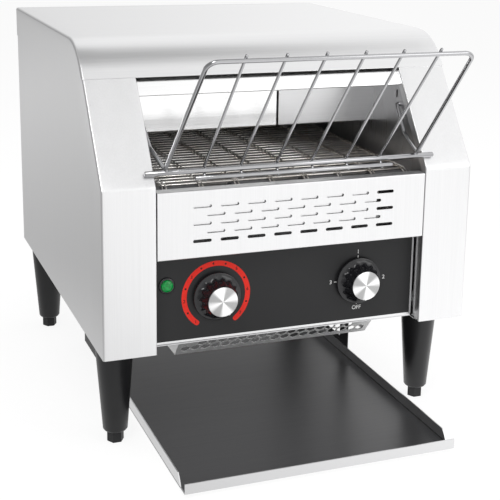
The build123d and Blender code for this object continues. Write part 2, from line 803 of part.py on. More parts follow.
# ---- Belt and its shafts -------------------------------------------------------------------
def belt_run():
    return drive_y - idler_y


def belt_length():
    return 2 * belt_run() + 2 * math.pi * wire_path_radius


def belt_place(distance):
    """Point of the belt's loop, in the side view, at a distance along it."""
    run = belt_run()
    half_turn = math.pi * wire_path_radius
    distance = distance % belt_length()
    if distance < run:
        return Vector(idler_y + distance, axle_height + wire_path_radius)
    if distance < run + half_turn:
        return on_circle(drive_y, math.pi / 2 - (distance - run) / wire_path_radius)
    if distance < 2 * run + half_turn:
        return Vector(drive_y - (distance - run - half_turn), axle_height - wire_path_radius)
    return on_circle(idler_y, -math.pi / 2 - (distance - 2 * run - half_turn) / wire_path_radius)


def on_circle(y, angle):
    """Point of the belt's wires round a shaft, in the side view."""
    return Vector(y, axle_height) + Vector(math.cos(angle), math.sin(angle)) * wire_path_radius


def conveyor_belt():
    """Separate cross wires, each with short link bars that reach to the next wire."""
    strands = round(belt_length() / belt_pitch_guess)
    pitch = belt_length() / strands
    strand = belt_strand(pitch)
    placed = []
    for step in range(strands):
        here = belt_place(step * pitch)
        ahead = belt_place((step + 1) * pitch) - here
        angle = math.degrees(math.atan2(ahead.Y, ahead.X))
        placed.append(Pos(0, here.X, here.Y) * Rot(angle, 0, 0) * strand)
    return group(placed)


def belt_strand(pitch):
    """One cross wire along X with link bars along +Y, a little outside the wire's axis."""
    first = belt_half_width - belt_edge - belt_link_width / 2
    tightest = 2 * wire_path_radius * math.sin(pitch / (2 * wire_path_radius))
    low = belt_link_lift - belt_link_thickness / 2
    wire = rod_x(-belt_half_width, belt_half_width, 0, 0, belt_wire_radius)
    for column in range(belt_spaces + 1):
        x = first * (2 * column / belt_spaces - 1)
        wire += block(x - belt_link_width / 2, x + belt_link_width / 2, 0,
                      tightest - belt_wire_radius - body_gap, low, low + belt_link_thickness)
    return wire.solid()


def sleeve_centres():
    return [(step - (sleeve_count - 1) / 2) * sleeve_pitch for step in range(sleeve_count)]


def idler_sleeves():
    half = sleeve_width / 2
    return group((rod_x(x - half, x + half, idler_y, axle_height, sleeve_radius)
                  - rod_x(x - half, x + half, idler_y, axle_height, axle_radius + running_gap)).solid()
                 for x in sleeve_centres())


def axle(y, right_end):
    left_end = wall_inner + bush_length + axle_end
    return chamfer(rod_x(-left_end, right_end, y, axle_height, axle_radius).edges(), sheet)


def drive_sprockets():
    """Narrow toothed wheels with their hubs on the drive shaft."""
    tooth_angle = 360 / sprocket_teeth
    half = sprocket_width / 2
    wheels = []
    for x in sleeve_centres():
        wheel = rod_x(x - half, x + half, drive_y, axle_height, sleeve_radius)
        for step in range(sprocket_teeth):
            angle = math.radians(step * tooth_angle)
            y = drive_y + (sleeve_radius + sheet) * math.cos(angle)
            z = axle_height + (sleeve_radius + sheet) * math.sin(angle)
            wheel -= rod_x(x - half, x + half, y, z, sleeve_radius - sprocket_root)
        ends = (x - sprocket_width, x + sprocket_width)
        wheel += rod_x(*ends, drive_y, axle_height, sprocket_hub_radius)
        wheel -= rod_x(*ends, drive_y, axle_height, axle_radius + running_gap)
        wheels.append(wheel.solid())
    return group(wheels)


def shaft_bushes():
    bushes = []
    for y in (idler_y, drive_y):
        bush = rod_x(wall_inner - bush_flange, wall_inner, y, axle_height, bush_flange_radius)
        bush += rod_x(wall_inner, wall_inner + bush_length, y, axle_height, bush_radius)
        bush -= rod_x(wall_inner - 2 * bush_flange, wall_inner + 2 * bush_length, y, axle_height,
                      axle_radius + running_gap)
        bushes.append(bush.solid())
    return both_sides(group(bushes))


# ---- Feed rack -----------------------------------------------------------------------------
def feed_rack():
    """Welded wire rack: hooked frame, long rod across the pillars, short bar and inner wires."""
    rack = wire_along(rack_frame_path(), rack_frame_radius)
    rack += rod_x(-rack_rod_half_length, rack_rod_half_length, rack_rod_y, rack_rod_height, rack_rod_radius)
    rack += rod_x(-rack_bar_half_length, rack_bar_half_length, rack_bar_y, rack_bar_height, rack_bar_radius)
    for step in range(rack_wires):
        x = (step - (rack_wires - 1) / 2) * rack_wire_pitch
        rack += wire_along(rack_wire_path(x), rack_wire_radius)
    return rack


def rack_vertex():
    """Where a side arm turns back, welded on top of the long rod."""
    lean = math.radians(rack_vertex_lean)
    return Vector(rack_rod_y, rack_rod_height) + Vector(-math.sin(lean), math.cos(lean)) * vertex_gap


def rack_frame_path():
    vertex = rack_vertex()
    hook_end = wall_outer + rack_hook_reach
    half = [(hook_end, rack_hinge_y, rack_hinge_height), (rack_arm_x, rack_hinge_y, rack_hinge_height),
            (rack_half_width + rack_knee_spread, rack_knee_y, bend_height + rack_knee_climb),
            (rack_half_width, vertex.X, vertex.Y),
            (rack_half_width - rack_taper, -rack_top_forward, rack_top_height)]
    bends = [rack_hook_bend, rack_knee_bend, rack_vertex_bend, rack_corner]
    points = half + [(-x, y, z) for x, y, z in reversed(half)]
    return FilletPolyline(*points, radius=bends + bends[::-1])


def rack_wire_path(x):
    """An inner wire: behind the top bar, behind the long rod, then down to the short bar."""
    top = Vector(-rack_top_forward, rack_top_height)
    rod = Vector(rack_rod_y, rack_rod_height)
    bar = Vector(rack_bar_y, rack_bar_height)
    sunk = rack_wire_radius - rack_weld
    along = (rod - top).normalized()
    inward = Vector(-along.Y, along.X)
    start = top + inward * (rack_frame_radius + sunk) - along * rack_wire_tip
    turn = rod + inward * (rack_rod_radius + sunk) + along * rack_wire_turn
    down = (bar - turn).normalized()
    end = bar + Vector(-down.Y, down.X) * (rack_bar_radius + sunk) + down * rack_wire_radius
    points = [(x, start.X, start.Y), (x, turn.X, turn.Y), (x, end.X, end.Y)]
    return FilletPolyline(*points, radius=rack_wire_bend)


# ---- Deflector, tray and feet --------------------------------------------------------------
def toast_deflector():
    """Perforated plate under the base with a flange above it and a gusset at each end."""
    top = base_bottom
    path = [(deflector_foot_y, deflector_foot_height), (deflector_fold_y, top),
            (deflector_fold_y - deflector_flange, top)]
    plate = folded(path, -deflector_half_width, deflector_half_width, deflector_sheet)
    gusset_face = make_face(Polyline((deflector_fold_y, top - deflector_sheet),
                                     (deflector_foot_y, deflector_foot_height),
                                     (gusset_back, deflector_foot_height), (gusset_back, top),
                                     (deflector_fold_y + 2 * deflector_sheet, top), close=True))
    for side in (-1, 1):
        edge = side * deflector_half_width
        plate += across(gusset_face, min(edge, edge - side * deflector_sheet),
                        max(edge, edge - side * deflector_sheet))
    down = Vector(deflector_foot_y - deflector_fold_y, deflector_foot_height - top).normalized()
    facing = (0, down.Y, -down.X)
    plane = Plane(origin=(0, deflector_foot_y, deflector_foot_height), x_dir=(1, 0, 0), z_dir=facing)
    holes = Sketch()
    for row in range(guard_hole_rows):
        count = int(2 * deflector_half_width / guard_hole_pitch) - row * guard_hole_fewer
        for column in range(count):
            x = (column - (count - 1) / 2) * guard_hole_pitch
            holes += (Pos(x, guard_first_row + row * guard_row_pitch)
                      * RegularPolygon(guard_hole_radius, hexagon_sides, rotation=hexagon_turn))
    return plate - extrude(plane * holes, 3 * deflector_sheet, both=True)


def collection_tray():
    front = -tray_front
    floor = tray_floor_height
    path = [(front, floor + tray_lip), (front, floor), (tray_back, floor), (tray_back, floor + tray_wall)]
    tray = folded(path, -tray_half_width, tray_half_width, tray_sheet)
    start = front + tray_wall_stop
    face = make_face(Polyline((start - tray_wall_chamfer, floor), (start - tray_wall_chamfer, floor + sheet),
                              (start, floor + tray_wall), (tray_back, floor + tray_wall),
                              (tray_back, floor), close=True))
    for side in (-1, 1):
        edge = side * tray_half_width
        tray += across(face, min(edge, edge - side * tray_sheet), max(edge, edge - side * tray_sheet))
    return tray


def tray_pads():
    x = tray_half_width - tray_pad_inset_x
    low = -foot_height
    return group(rod_z(side * x, y, low, tray_floor_height, tray_pad_radius).solid()
                 for side in (-1, 1) for y in (-tray_pad_front, tray_pad_back))


def tray_guides():
    """Rail along each side of the tray's rear, hung on two straps with bolted tabs."""
    inner = tray_half_width + body_gap
    outer = inner + guide_sheet
    shelf_top = tray_floor_height - body_gap
    shelf_low = shelf_top - guide_sheet
    guide = block(inner, outer, guide_front, guide_back, shelf_low, shelf_low + guide_rail)
    guide += block(inner - guide_shelf, outer, guide_front, guide_back, shelf_low, shelf_top)
    for y in (guide_front, guide_back - guide_strap):
        guide += block(inner, outer, y, y + guide_strap, shelf_low, 0)
        guide += block(inner - guide_tab, pillar_inner - seam_gap, y, y + guide_strap,
                       base_bottom - guide_sheet, base_bottom)
    return both_sides(guide)


def foot_bodies():
    """Tapered feet, bored from below for the adjusters."""
    profile = [(0, 0), (foot_top_radius, 0), (foot_bottom_radius, foot_bottom + foot_chamfer),
               (foot_bottom_radius - foot_chamfer, foot_bottom), (0, foot_bottom)]
    feet = []
    for x in (-foot_x, foot_x):
        for y in (front_foot_y, rear_foot_y):
            body = Pos(x, y, 0) * revolve(Plane.XZ * make_face(Polyline(*profile, close=True)), Axis.Z)
            bore = rod_z(x, y, foot_bottom - sheet, foot_bottom + adjuster_stem + foot_bore_spare,
                         adjuster_stem_radius + running_gap)
            feet.append((body - bore).solid())
    return group(feet)


def foot_adjuster(x, y):
    """Hexagonal adjuster with a stem that screws up into the foot."""
    top = foot_bottom - body_gap
    head = extrude(RegularPolygon(adjuster_radius, hexagon_sides), top + foot_height)
    stem = extrude(Circle(adjuster_stem_radius), adjuster_stem + body_gap)
    return Pos(x, y, -foot_height) * head + Pos(x, y, top) * stem


# ---- Drive ---------------------------------------------------------------------------------
def gear_radius(teeth):
    return chain_pitch / (2 * math.sin(math.pi / teeth))


def chain_gear(teeth, y, z, bore_radius, hub_side):
    """Chain wheel whose teeth stay just inside the chain's rollers, with a hub on one side."""
    tip = gear_radius(teeth) - chain_roller_radius - gear_tooth_gap
    half = gear_width / 2
    wheel = rod_x(gear_x - half, gear_x + half, y, z, tip)
    for step in range(teeth):
        angle = 2 * math.pi * step / teeth
        wheel -= rod_x(gear_x - half, gear_x + half, y + tip * math.cos(angle), z + tip * math.sin(angle),
                       gear_tooth_depth / 2)
    reach = half + gear_hub_length
    hub_radius = min(gear_hub_radius, tip - gear_tooth_depth)
    low, high = (gear_x, gear_x + reach) if hub_side > 0 else (gear_x - reach, gear_x)
    wheel += rod_x(low, high, y, z, hub_radius)
    return wheel - rod_x(gear_x - reach, gear_x + reach, y, z, bore_radius)


def chain_outline(change):
    """Side-view shape of a loop round both chain wheels, grown or shrunk from the pitch line."""
    big = Pos(drive_y, axle_height) * Circle(gear_radius(drive_gear_teeth) + change)
    small = Pos(motor_y, motor_height) * Circle(gear_radius(motor_gear_teeth) + change)
    return make_hull(big.edges() + small.edges())


def drive_chain():
    """Roller chain as a closed loop: two side plates flank the teeth, rollers lie outside them."""
    ring = chain_outline(chain_plate_height / 2) - chain_outline(-chain_plate_height / 2)
    inner = chain_inner_width / 2
    chain = across(ring, gear_x + inner, gear_x + inner + chain_plate)
    chain += across(ring, gear_x - inner - chain_plate, gear_x - inner)
    loop = chain_outline(0).wire()
    rollers = round(loop.length / chain_pitch)
    places = Sketch()
    for step in range(rollers):
        point = loop.position_at(step / rollers)
        places += Pos(point.X, point.Y) * Circle(chain_roller_radius)
    return chain + across(places, gear_x - inner - chain_plate / 2, gear_x + inner + chain_plate / 2)


def motor_sprocket():
    """Motor shaft with its chain wheel."""
    wheel = chain_gear(motor_gear_teeth, motor_y, motor_height, motor_shaft_radius, -1)
    shaft_end = bracket_x + bracket_sheet + gearbox_length / 2
    return wheel + rod_x(gear_x - gear_width - gear_hub_length, shaft_end, motor_y, motor_height,
                         motor_shaft_radius)


def gear_motor():
    start = bracket_x + bracket_sheet
    body = rod_x(start, start + gearbox_length, motor_y, motor_height, gearbox_radius)
    can_end = start + gearbox_length + motor_can_length
    body += rod_x(start + gearbox_length, can_end, motor_y, motor_height, motor_can_radius)
    body = fillet(body.edges().group_by(Axis.X)[-1], bend_radius)
    return body - rod_x(start - sheet, start + gearbox_length / 2 + body_gap, motor_y, motor_height,
                        motor_shaft_radius + running_gap)


def motor_bracket():
    """Plate on four posts that stands the motor off the inner wall, clear of the chain."""
    length = bracket_front + bracket_back
    middle = motor_y + (bracket_back - bracket_front) / 2
    outline = RectangleRounded(length, 2 * bracket_half, bracket_post_radius)
    plate = across(Pos(middle, motor_height) * outline, bracket_x, bracket_x + bracket_sheet)
    for y in (motor_y - bracket_front + bracket_post_radius, motor_y + bracket_back - bracket_post_radius):
        for side in (-1, 1):
            z = motor_height + side * (bracket_half - bracket_post_radius)
            plate += rod_x(wall_outer, bracket_x, y, z, bracket_post_radius)
    return plate - rod_x(bracket_x - sheet, bracket_x + 2 * bracket_sheet, motor_y, motor_height,
                         motor_shaft_radius + body_gap)


# ---- Cooling and electrics -----------------------------------------------------------------
def fan_frame():
    half = fan_side / 2
    back = rear_inner
    square = Pos(fan_x, fan_height) * (RectangleRounded(fan_side, fan_side, fan_corner)
                                       - Circle(fan_bore_radius))
    frame = through(square, back - fan_thickness, back)
    plate_front = back - fan_stator_thickness
    frame += rod_y(fan_x, fan_height, plate_front, back, fan_hub_radius)
    for angle in (45, 135):
        strut = Pos(fan_x, fan_height) * Rot(0, 0, angle) * Rectangle(2 * fan_bore_radius + sheet, fan_strut)
        frame += through(strut, plate_front, back)
    frame += rod_y(fan_x, fan_height, back - fan_thickness + fan_stator_thickness * 2, plate_front,
                   fan_pin_radius)
    waist = Pos(fan_x, fan_height) * (Rectangle(fan_side + sheet, fan_side + sheet)
                                      - Circle(half - fan_wall))
    frame -= through(waist, back - fan_thickness + fan_strut, back - fan_strut)
    return frame - [rod_y(x, z, back - fan_thickness - sheet, back + sheet, screw_radius + running_gap)
                    for x, z in fan_screw_places()]


def fan_rotor():
    """Hub with tilted blades, turning on the frame's pin."""
    front = rear_inner - fan_thickness + fan_stator_thickness
    back = rear_inner - fan_stator_thickness - body_gap
    rotor = rod_y(fan_x, fan_height, front, back, fan_hub_radius - body_gap)
    span = fan_bore_radius - fan_blade_gap
    middle = (front + back) / 2
    chord = (back - front) * rise_share
    for step in range(fan_blades):
        blade = Box(span, chord, fan_blade_thickness)
        blade = Pos(span / 2, 0, 0) * Rot(fan_blade_tilt, 0, 0) * blade
        rotor += Pos(fan_x, middle, fan_height) * Rot(0, step * 360 / fan_blades, 0) * blade
    swept = rod_y(fan_x, fan_height, front, back, span)
    rotor = rotor & swept
    return rotor - rod_y(fan_x, fan_height, front + fan_stator_thickness, back + sheet,
                         fan_pin_radius + running_gap)


def fan_guard():
    """Wire finger guard on the rear panel: rings joined by four spokes with screw eyes."""
    spoke_y = rear_outer + guard_wire + seam_gap
    ring_y = spoke_y + 2 * guard_wire - rack_weld
    reach = fan_side / 2 - fan_corner
    guard = Part()
    for step in range(guard_rings):
        ring_radius = (fan_bore_radius - guard_wire) * (step + 1) / guard_rings
        profile = Pos(ring_radius, ring_y) * Circle(guard_wire)
        guard += Pos(fan_x, 0, fan_height) * revolve(profile, Axis.Y)
    for angle in (45, 135):
        line = Vector(math.cos(math.radians(angle)), math.sin(math.radians(angle)))
        half = reach * math.sqrt(2)
        plane = Plane(origin=(fan_x - line.X * half, spoke_y, fan_height - line.Y * half),
                      z_dir=(line.X, 0, line.Y))
        guard += extrude(plane * Circle(guard_wire), 2 * half)
    for x, z in fan_screw_places():
        guard += rod_y(x, z, rear_outer, rear_outer + 2 * guard_wire, screw_head_radius)
    return guard - [rod_y(x, z, rear_outer - sheet, rear_outer + 3 * guard_wire, screw_radius + running_gap)
                    for x, z in fan_screw_places()]


def cable_gland():
    """Hexagonal gland through the rear panel, with a domed nut and a bore for the lead."""
    nut = through(Pos(gland_x, gland_height) * RegularPolygon(gland_nut_radius, hexagon_sides),
                  rear_outer, rear_outer + gland_nut)
    lock_nut = through(Pos(gland_x, gland_height) * RegularPolygon(gland_nut_radius, hexagon_sides),
                       rear_inner - gland_nut, rear_inner)
    back = rear_outer + gland_nut
    dome = turned_y([(0, back), (gland_nut_radius - bend_radius, back),
                     (gland_nut_radius - bend_radius, back + gland_dome / 2),
                     (gland_thread_radius, back + gland_dome), (0, back + gland_dome)],
                    gland_x, gland_height)
    thread = rod_y(gland_x, gland_height, rear_inner - gland_inside, back, gland_thread_radius)
    bore = rod_y(gland_x, gland_height, rear_inner - gland_inside, back + gland_dome, gland_bore_radius)
    return nut + lock_nut + dome + thread - bore


def terminal_block():
    half = terminal_block_width / 2
    top = base_top + terminal_block_height
    body = block(terminal_block_x - half, terminal_block_x + half, terminal_block_y - terminal_block_length,
                 terminal_block_y, base_top, top)
    way = terminal_block_length / terminal_ways
    for step in range(terminal_ways):
        y = terminal_block_y - (step + 1 / 2) * way
        body -= rod_z(terminal_block_x, y, top - terminal_screw_depth, top + sheet, terminal_screw_radius)
    for step in range(1, terminal_ways):
        y = terminal_block_y - step * way
        body += block(terminal_block_x - half, terminal_block_x + half, y - sheet, y + sheet,
                      top, top + terminal_rib)
    return body


def thermal_cutout():
    """Disc thermostat on the left inner wall between two heaters, with two tabs."""
    start = -wall_outer
    cutout_y = upper_heater_first + heater_pitch / 2
    body = rod_x(start - cutout_depth, start, cutout_y, cutout_height, cutout_radius)
    for side in (-1, 1):
        y = cutout_y + side * cutout_radius / 2
        body += block(start - cutout_depth - cutout_tab_length, start - cutout_depth,
                      y - 3 * sheet, y + 3 * sheet, cutout_height - sheet / 2, cutout_height + sheet / 2)
    return body


def casing_screws():
    """Dome-headed screws: through the rear panel and through the fan guard's eyes."""
    screws = [rear_screw(x, z, rear_outer) for x, z in rear_screw_places()]
    guard_seat = rear_outer + 2 * guard_wire + seam_gap
    screws += [rear_screw(x, z, guard_seat) for x, z in fan_screw_places()]
    return group(screws)


def rear_screw(x, z, seat):
    head = rod_y(x, z, seat, seat + screw_head_height, screw_head_radius)
    head = fillet(head.edges().group_by(Axis.Y)[-1], screw_head_height / 2)
    socket = Pos(x, z) * RegularPolygon(screw_socket, hexagon_sides)
    head -= through(socket, seat + screw_head_height / 2, seat + 2 * screw_head_height)
    return (head + rod_y(x, z, seat - screw_length, seat, screw_radius)).solid()


# ---- Assembly ------------------------------------------------------------------------------
pieces = {
    "top_cover": top_cover(),
    "side_panel_left": left_of(side_panel()),
    "side_panel_right": side_panel(),
    "rear_panel": rear_panel(),
    "base_pan": base_pan(),
    "inner_wall_left": left_of(inner_wall()),
    "inner_wall_right": inner_wall(),
    "vented_front_panel": vented_front_panel(),
    "slot_backing_plate": slot_backing_plate(),
    "control_panel": control_panel(),
    "control_overlay": control_overlay(),
    "control_heat_shield": control_heat_shield(),
    "speed_knob": knob(-knob_spread),
    "speed_knob_cap": knob_cap(-knob_spread),
    "speed_shaft": control_shaft(-knob_spread, pot_depth),
    "speed_potentiometer": speed_potentiometer(),
    "selector_knob": knob(knob_spread),
    "selector_knob_cap": knob_cap(knob_spread),
    "selector_shaft": control_shaft(knob_spread, switch_depth),
    "selector_switch": selector_switch(),
    "lamp_bezel": lamp_bezel(),
    "lamp_lens": lamp_lens(),
    "feed_hood": feed_hood(),
    "front_baffle_left": front_baffle(-wall_inner, baffle_seam_x - baffle_seam / 2),
    "front_baffle_right": front_baffle(baffle_seam_x + baffle_seam / 2, wall_inner),
    "upper_reflector": upper_reflector(),
    "lower_reflector": lower_reflector(),
    "discharge_chute": discharge_chute(),
    "heater_tubes_upper": heater_tubes(heater_places()[:heater_count]),
    "heater_tubes_lower": heater_tubes(heater_places()[heater_count:]),
    "heater_end_caps": heater_end_caps(),
    "conveyor_belt": conveyor_belt(),
    "idler_shaft": axle(idler_y, wall_inner + bush_length + axle_end),
    "idler_sleeves": idler_sleeves(),
    "drive_shaft": axle(drive_y, gear_x + gear_width + gear_hub_length),
    "drive_sprockets": drive_sprockets(),
    "shaft_bushes": shaft_bushes(),
    "drive_gear": chain_gear(drive_gear_teeth, drive_y, axle_height, axle_radius + running_gap, 1),
    "drive_chain": drive_chain(),
    "motor_sprocket": motor_sprocket(),
    "gear_motor": gear_motor(),
    "motor_bracket": motor_bracket(),
    "feed_rack": feed_rack(),
    "toast_deflector": toast_deflector(),
    "collection_tray": collection_tray(),
    "tray_pads": tray_pads(),
    "tray_guides": tray_guides(),
    "foot_bodies": foot_bodies(),
    "adjuster_front_left": foot_adjuster(-foot_x, front_foot_y),
    "adjuster_front_right": foot_adjuster(foot_x, front_foot_y),
    "adjuster_rear_left": foot_adjuster(-foot_x, rear_foot_y),
    "adjuster_rear_right": foot_adjuster(foot_x, rear_foot_y),
    "fan_frame": fan_frame(),
    "fan_rotor": fan_rotor(),
    "fan_guard": fan_guard(),
    "cable_gland": cable_gland(),
    "terminal_block": terminal_block(),
    "thermal_cutout": thermal_cutout(),
    "casing_screws": casing_screws(),
}

os.makedirs("parts", exist_ok=True)
for name, shape in pieces.items():
    export_step(Pos(0, -depth_centre, foot_height) * shape, f"parts/{name}.step")
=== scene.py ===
"""Looks of a countertop conveyor toaster: smooth sheet, wire, knobs and finishes on its frame."""
import math

import bmesh
import bpy
import numpy as np
from bpy.props import FloatProperty, FloatVectorProperty, IntProperty, PointerProperty
from mathutils import Matrix, Vector


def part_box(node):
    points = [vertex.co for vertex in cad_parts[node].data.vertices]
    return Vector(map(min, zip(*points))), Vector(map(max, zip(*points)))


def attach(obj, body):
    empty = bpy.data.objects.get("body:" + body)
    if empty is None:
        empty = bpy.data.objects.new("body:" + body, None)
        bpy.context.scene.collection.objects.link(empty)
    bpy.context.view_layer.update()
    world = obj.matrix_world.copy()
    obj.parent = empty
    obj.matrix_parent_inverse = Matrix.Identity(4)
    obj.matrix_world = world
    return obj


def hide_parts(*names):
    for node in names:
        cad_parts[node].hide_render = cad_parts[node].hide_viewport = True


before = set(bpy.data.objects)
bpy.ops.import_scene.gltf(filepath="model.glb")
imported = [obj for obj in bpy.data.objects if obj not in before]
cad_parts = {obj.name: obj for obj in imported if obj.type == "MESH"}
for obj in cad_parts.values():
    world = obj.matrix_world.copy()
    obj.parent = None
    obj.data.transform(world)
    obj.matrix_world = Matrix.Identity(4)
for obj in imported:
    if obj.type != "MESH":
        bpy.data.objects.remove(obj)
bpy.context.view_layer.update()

bl_info = {
    "name": "Conveyor toaster",
    "version": (1, 0, 0),
    "blender": (4, 5, 0),
    "location": "View3D > Sidebar > Toaster",
    "description": "Smooth surfaces, finishes, lights and camera for a countertop conveyor toaster",
    "category": "Object",
}

PANEL_LOW, PANEL_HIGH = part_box("side_panel_left")
COVER_LOW, COVER_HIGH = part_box("top_cover")

# Pieces are worked out in metres from the casing's front lower edge on the centre line: X to the
# right, Y from the front of the pillars to the back, Z up. This corner moves them into the frame.
CORNER = np.array([0.0, PANEL_LOW.y, PANEL_LOW.z])
MM = 0.001
FULL_TURN = 2 * math.pi
AXES = np.eye(3)
X_AXIS, Y_AXIS, Z_AXIS = AXES
X, Y, Z = range(3)          # the axes' numbers
PIN = 0.3 * MM              # radius of the small flat that closes a turned shape on its axis
FIT = 0.05 * MM             # clearance round a shaft, a screw or the lens
MERGE_WITHIN = 0.001 * MM   # points nearer than this are one point
WHITE = (1, 1, 1, 1)
BLACK = (0, 0, 0, 1)

# What metal mirrors of the room and the floor changes over a range of the reach along a direction.
# On the floor the reach is in metres from its middle.
BRIGHT_DIRECTION, BRIGHT_RANGE = (0.9, -0.25, 0.35), (-0.45, 0.22)
RIGHT_DIRECTION, RIGHT_RANGE = (1.0, 0.5, 0.0), (0.35, 1.0)
REAR_RANGE = (0.0, 2.0)         # way back on the floor
ZENITH_RANGE = (0.87, 0.95)     # height of a direction

# Softboxes: place, the point that they are aimed at, and their width and height, in metres.
OVERHEAD_SOFTBOX = ((0.25, -0.25, 1.75), (0, 0, 0.2), (1.9, 1.5))
FRONT_SOFTBOX = ((1.5, -1.9, 1.1), (0, 0, 0.2), (1.3, 1.3))
STRIP_SOFTBOX = ((-0.75, -0.95, 1.25), (0, -0.1, 0.15), (0.35, 0.7))

# The selector's characters and their places in degrees, clockwise from the top.
SELECTOR_MARKS = {"OFF": 180, "1": 0, "2": 90, "3": -90}


# ---- Sizes and colours ---------------------------------------------------------------------
def length(label, description, millimetres):
    """A length property, its default given in millimetres."""
    return FloatProperty(name=label, description=description, default=millimetres * MM,
                         unit="LENGTH", precision=5)


def share(label, description, value):
    """A plain number without a unit, such as a share or a strength."""
    return FloatProperty(name=label, description=description, default=value, precision=4)


def count(label, description, value):
    """A number of like things."""
    return IntProperty(name=label, description=description, default=value, min=1)


def angle(label, description, degrees):
    """An angle property, its default given in degrees."""
    return FloatProperty(name=label, description=description, default=math.radians(degrees),
                         subtype="ANGLE")


def colour(label, description, red, green, blue):
    """A colour property, its default in linear values."""
    return FloatVectorProperty(name=label, description=description, subtype="COLOR", size=3,
                               default=(red, green, blue), min=0, max=1)


class CasingSizes(bpy.types.PropertyGroup):
    """Bent sheet of the casing"""
    half_width: length("Half width", "centre line to the cover's side", COVER_HIGH.x / MM)
    depth: length("Depth", "pillars' front to the cover's rear skirt",
                  (COVER_HIGH.y - PANEL_LOW.y) / MM)
    height: length("Height", "panels' lower edge to the cover's flat",
                   (COVER_HIGH.z - PANEL_LOW.z) / MM)
    skirt_bottom: length("Skirt bottom", "lower edge of the cover",
                         (COVER_LOW.z - PANEL_LOW.z) / MM)
    panel_top: length("Panel top", "upper edge of the side panels",
                      (PANEL_HIGH.z - PANEL_LOW.z) / MM)
    panel_depth: length("Panel depth", "pillars' front to the panels' rear edge",
                        (PANEL_HIGH.y - PANEL_LOW.y) / MM)
    bend_height: length("Bend height", "where the front turns from upright to sloping", 156)
    rise: share("Rise", "share of the slope's length that goes up", 0.8)
    run: share("Run", "share of the slope's length that goes back", 0.6)
    sheet: length("Sheet", "thickness of the casing sheet", 0.8)
    seam_gap: length("Seam gap", "gap between lapped sheets", 0.1)
    front_radius: length("Front radius", "large bend at the cover's front edge", 60)
    rear_radius: length("Rear radius", "bend at the cover's rear edge", 3)
    edge_radius: length("Edge radius", "rounding of the cover's side edges", 2.5)
    pillar_width: length("Pillar width", "cover's side to the pillar's inner edge", 50.5)
    pillar_return: length("Pillar return", "depth of the pillar's folded inner edge", 9)
    pillar_radius: length("Pillar radius", "rounding of the pillar's outer edge", 2)
    pillar_inner_radius: length("Pillar inner radius", "rounding of the pillar's inner edge", 1.2)
    bend_softness: length("Bend softness", "how far the sheet's bend rounds the crease", 1.4)


class BeltSizes(bpy.types.PropertyGroup):
    """Wire belt, its idler shaft and sleeves"""
    half_width: length("Half width", "centre line to the ends of the strands",
                       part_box("conveyor_belt")[1].x / MM)
    wire: length("Wire radius", "radius of the cross wires", 1.0)
    hook_wire: length("Hook radius", "radius of the hooks' wire", 0.75)
    path_radius: length("Turn radius", "radius of the wires' path round a shaft", 16.3)
    axle_height: length("Axle height", "height of the two shafts", 134.7)
    idler_y: length("Idler place", "front shaft behind the pillars' front", 26)
    drive_y: length("Drive place", "rear shaft behind the pillars' front", 300)
    strands: count("Strands", "cross wires in the belt", 59)
    columns: count("Hook columns", "hooks along each strand", 8)
    edge: length("Bare edge", "wire beyond the outer hooks", 2.4)
    hook_half: length("Hook half width", "half the distance between a hook's legs", 1.7)
    hook_lift: length("Hook lift", "hook's height over the wire that it holds", 1.75)
    shaft: length("Shaft radius", "radius of the idler shaft", 5)
    shaft_half: length("Shaft half length", "centre line to the idler shaft's end",
                       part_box("idler_shaft")[1].x / MM)
    sleeve: length("Sleeve radius", "radius of the support sleeves", 15)
    sleeve_width: length("Sleeve width", "length of a support sleeve", 41)
    sleeve_pitch: length("Sleeve pitch", "distance between sleeves", 71)
    sleeves: count("Sleeves", "support sleeves on the idler", 4)


class RackSizes(bpy.types.PropertyGroup):
    """Welded wire feed rack"""
    frame_wire: length("Frame radius", "radius of the bent frame", 2.0)
    rod: length("Rod radius", "radius of the long rod", 2.5)
    bar: length("Bar radius", "radius of the short bar", 2.0)
    wire: length("Wire radius", "radius of the inner wires", 1.3)
    weld: length("Weld", "how far welded wires sink into each other", 0.3)
    top_y: length("Top place", "top bar in front of the pillars' front", -99)
    top_z: length("Top height", "height of the top bar", 280)
    half_width: length("Half width", "centre line to the frame's side at the rod", 124.6)
    taper: length("Taper", "each side leans in this far at the top", 5.2)
    corner: length("Corner", "bend radius of the top corners", 10)
    bend: length("Bend", "radius of the small bends", 3)
    hook_bend: length("Hook bend", "radius of the hooks' bends", 2.4)
    knee_bend: length("Knee bend", "radius of the side arms' knees", 8)
    rod_half: length("Rod half length", "centre line to the long rod's end", 142.9)
    rod_y: length("Rod place", "long rod behind the pillars' front", 5.32)
    rod_z: length("Rod height", "height of the long rod", 167.76)
    bar_half: length("Bar half length", "centre line to the short bar's end", 97.8)
    bar_y: length("Bar place", "short bar behind the pillars' front", 1.5)
    bar_z: length("Bar height", "height of the short bar", 162)
    wires: count("Wires", "inner wires", 6)
    pitch: length("Wire pitch", "distance between inner wires", 34.96)
    tip: length("Tip", "inner wires above the top bar", 3.5)
    turn: length("Turn", "inner wires turn this far below the long rod", 2.8)
    lean: angle("Lean", "side arms' turn leans forward of the long rod", 26.6)
    vertex_sink: length("Sink", "how far the side arms' turn sinks into the long rod", 0.8)
    knee_x: length("Knee place", "side arms' knees from the centre line", 128.6)
    knee_y: length("Knee depth", "knees behind the pillars' front", 38.5)
    knee_z: length("Knee height", "height of the knees", 183.5)
    hinge_y: length("Hinge place", "hooks behind the pillars' front", 61.8)
    hinge_z: length("Hinge height", "height of the hooks", 207.8)
    arm_x: length("Arm place", "side arms' rear ends from the centre line", 131.2)
    hook_x: length("Hook end", "centre line to the hooks' ends", 140.4)


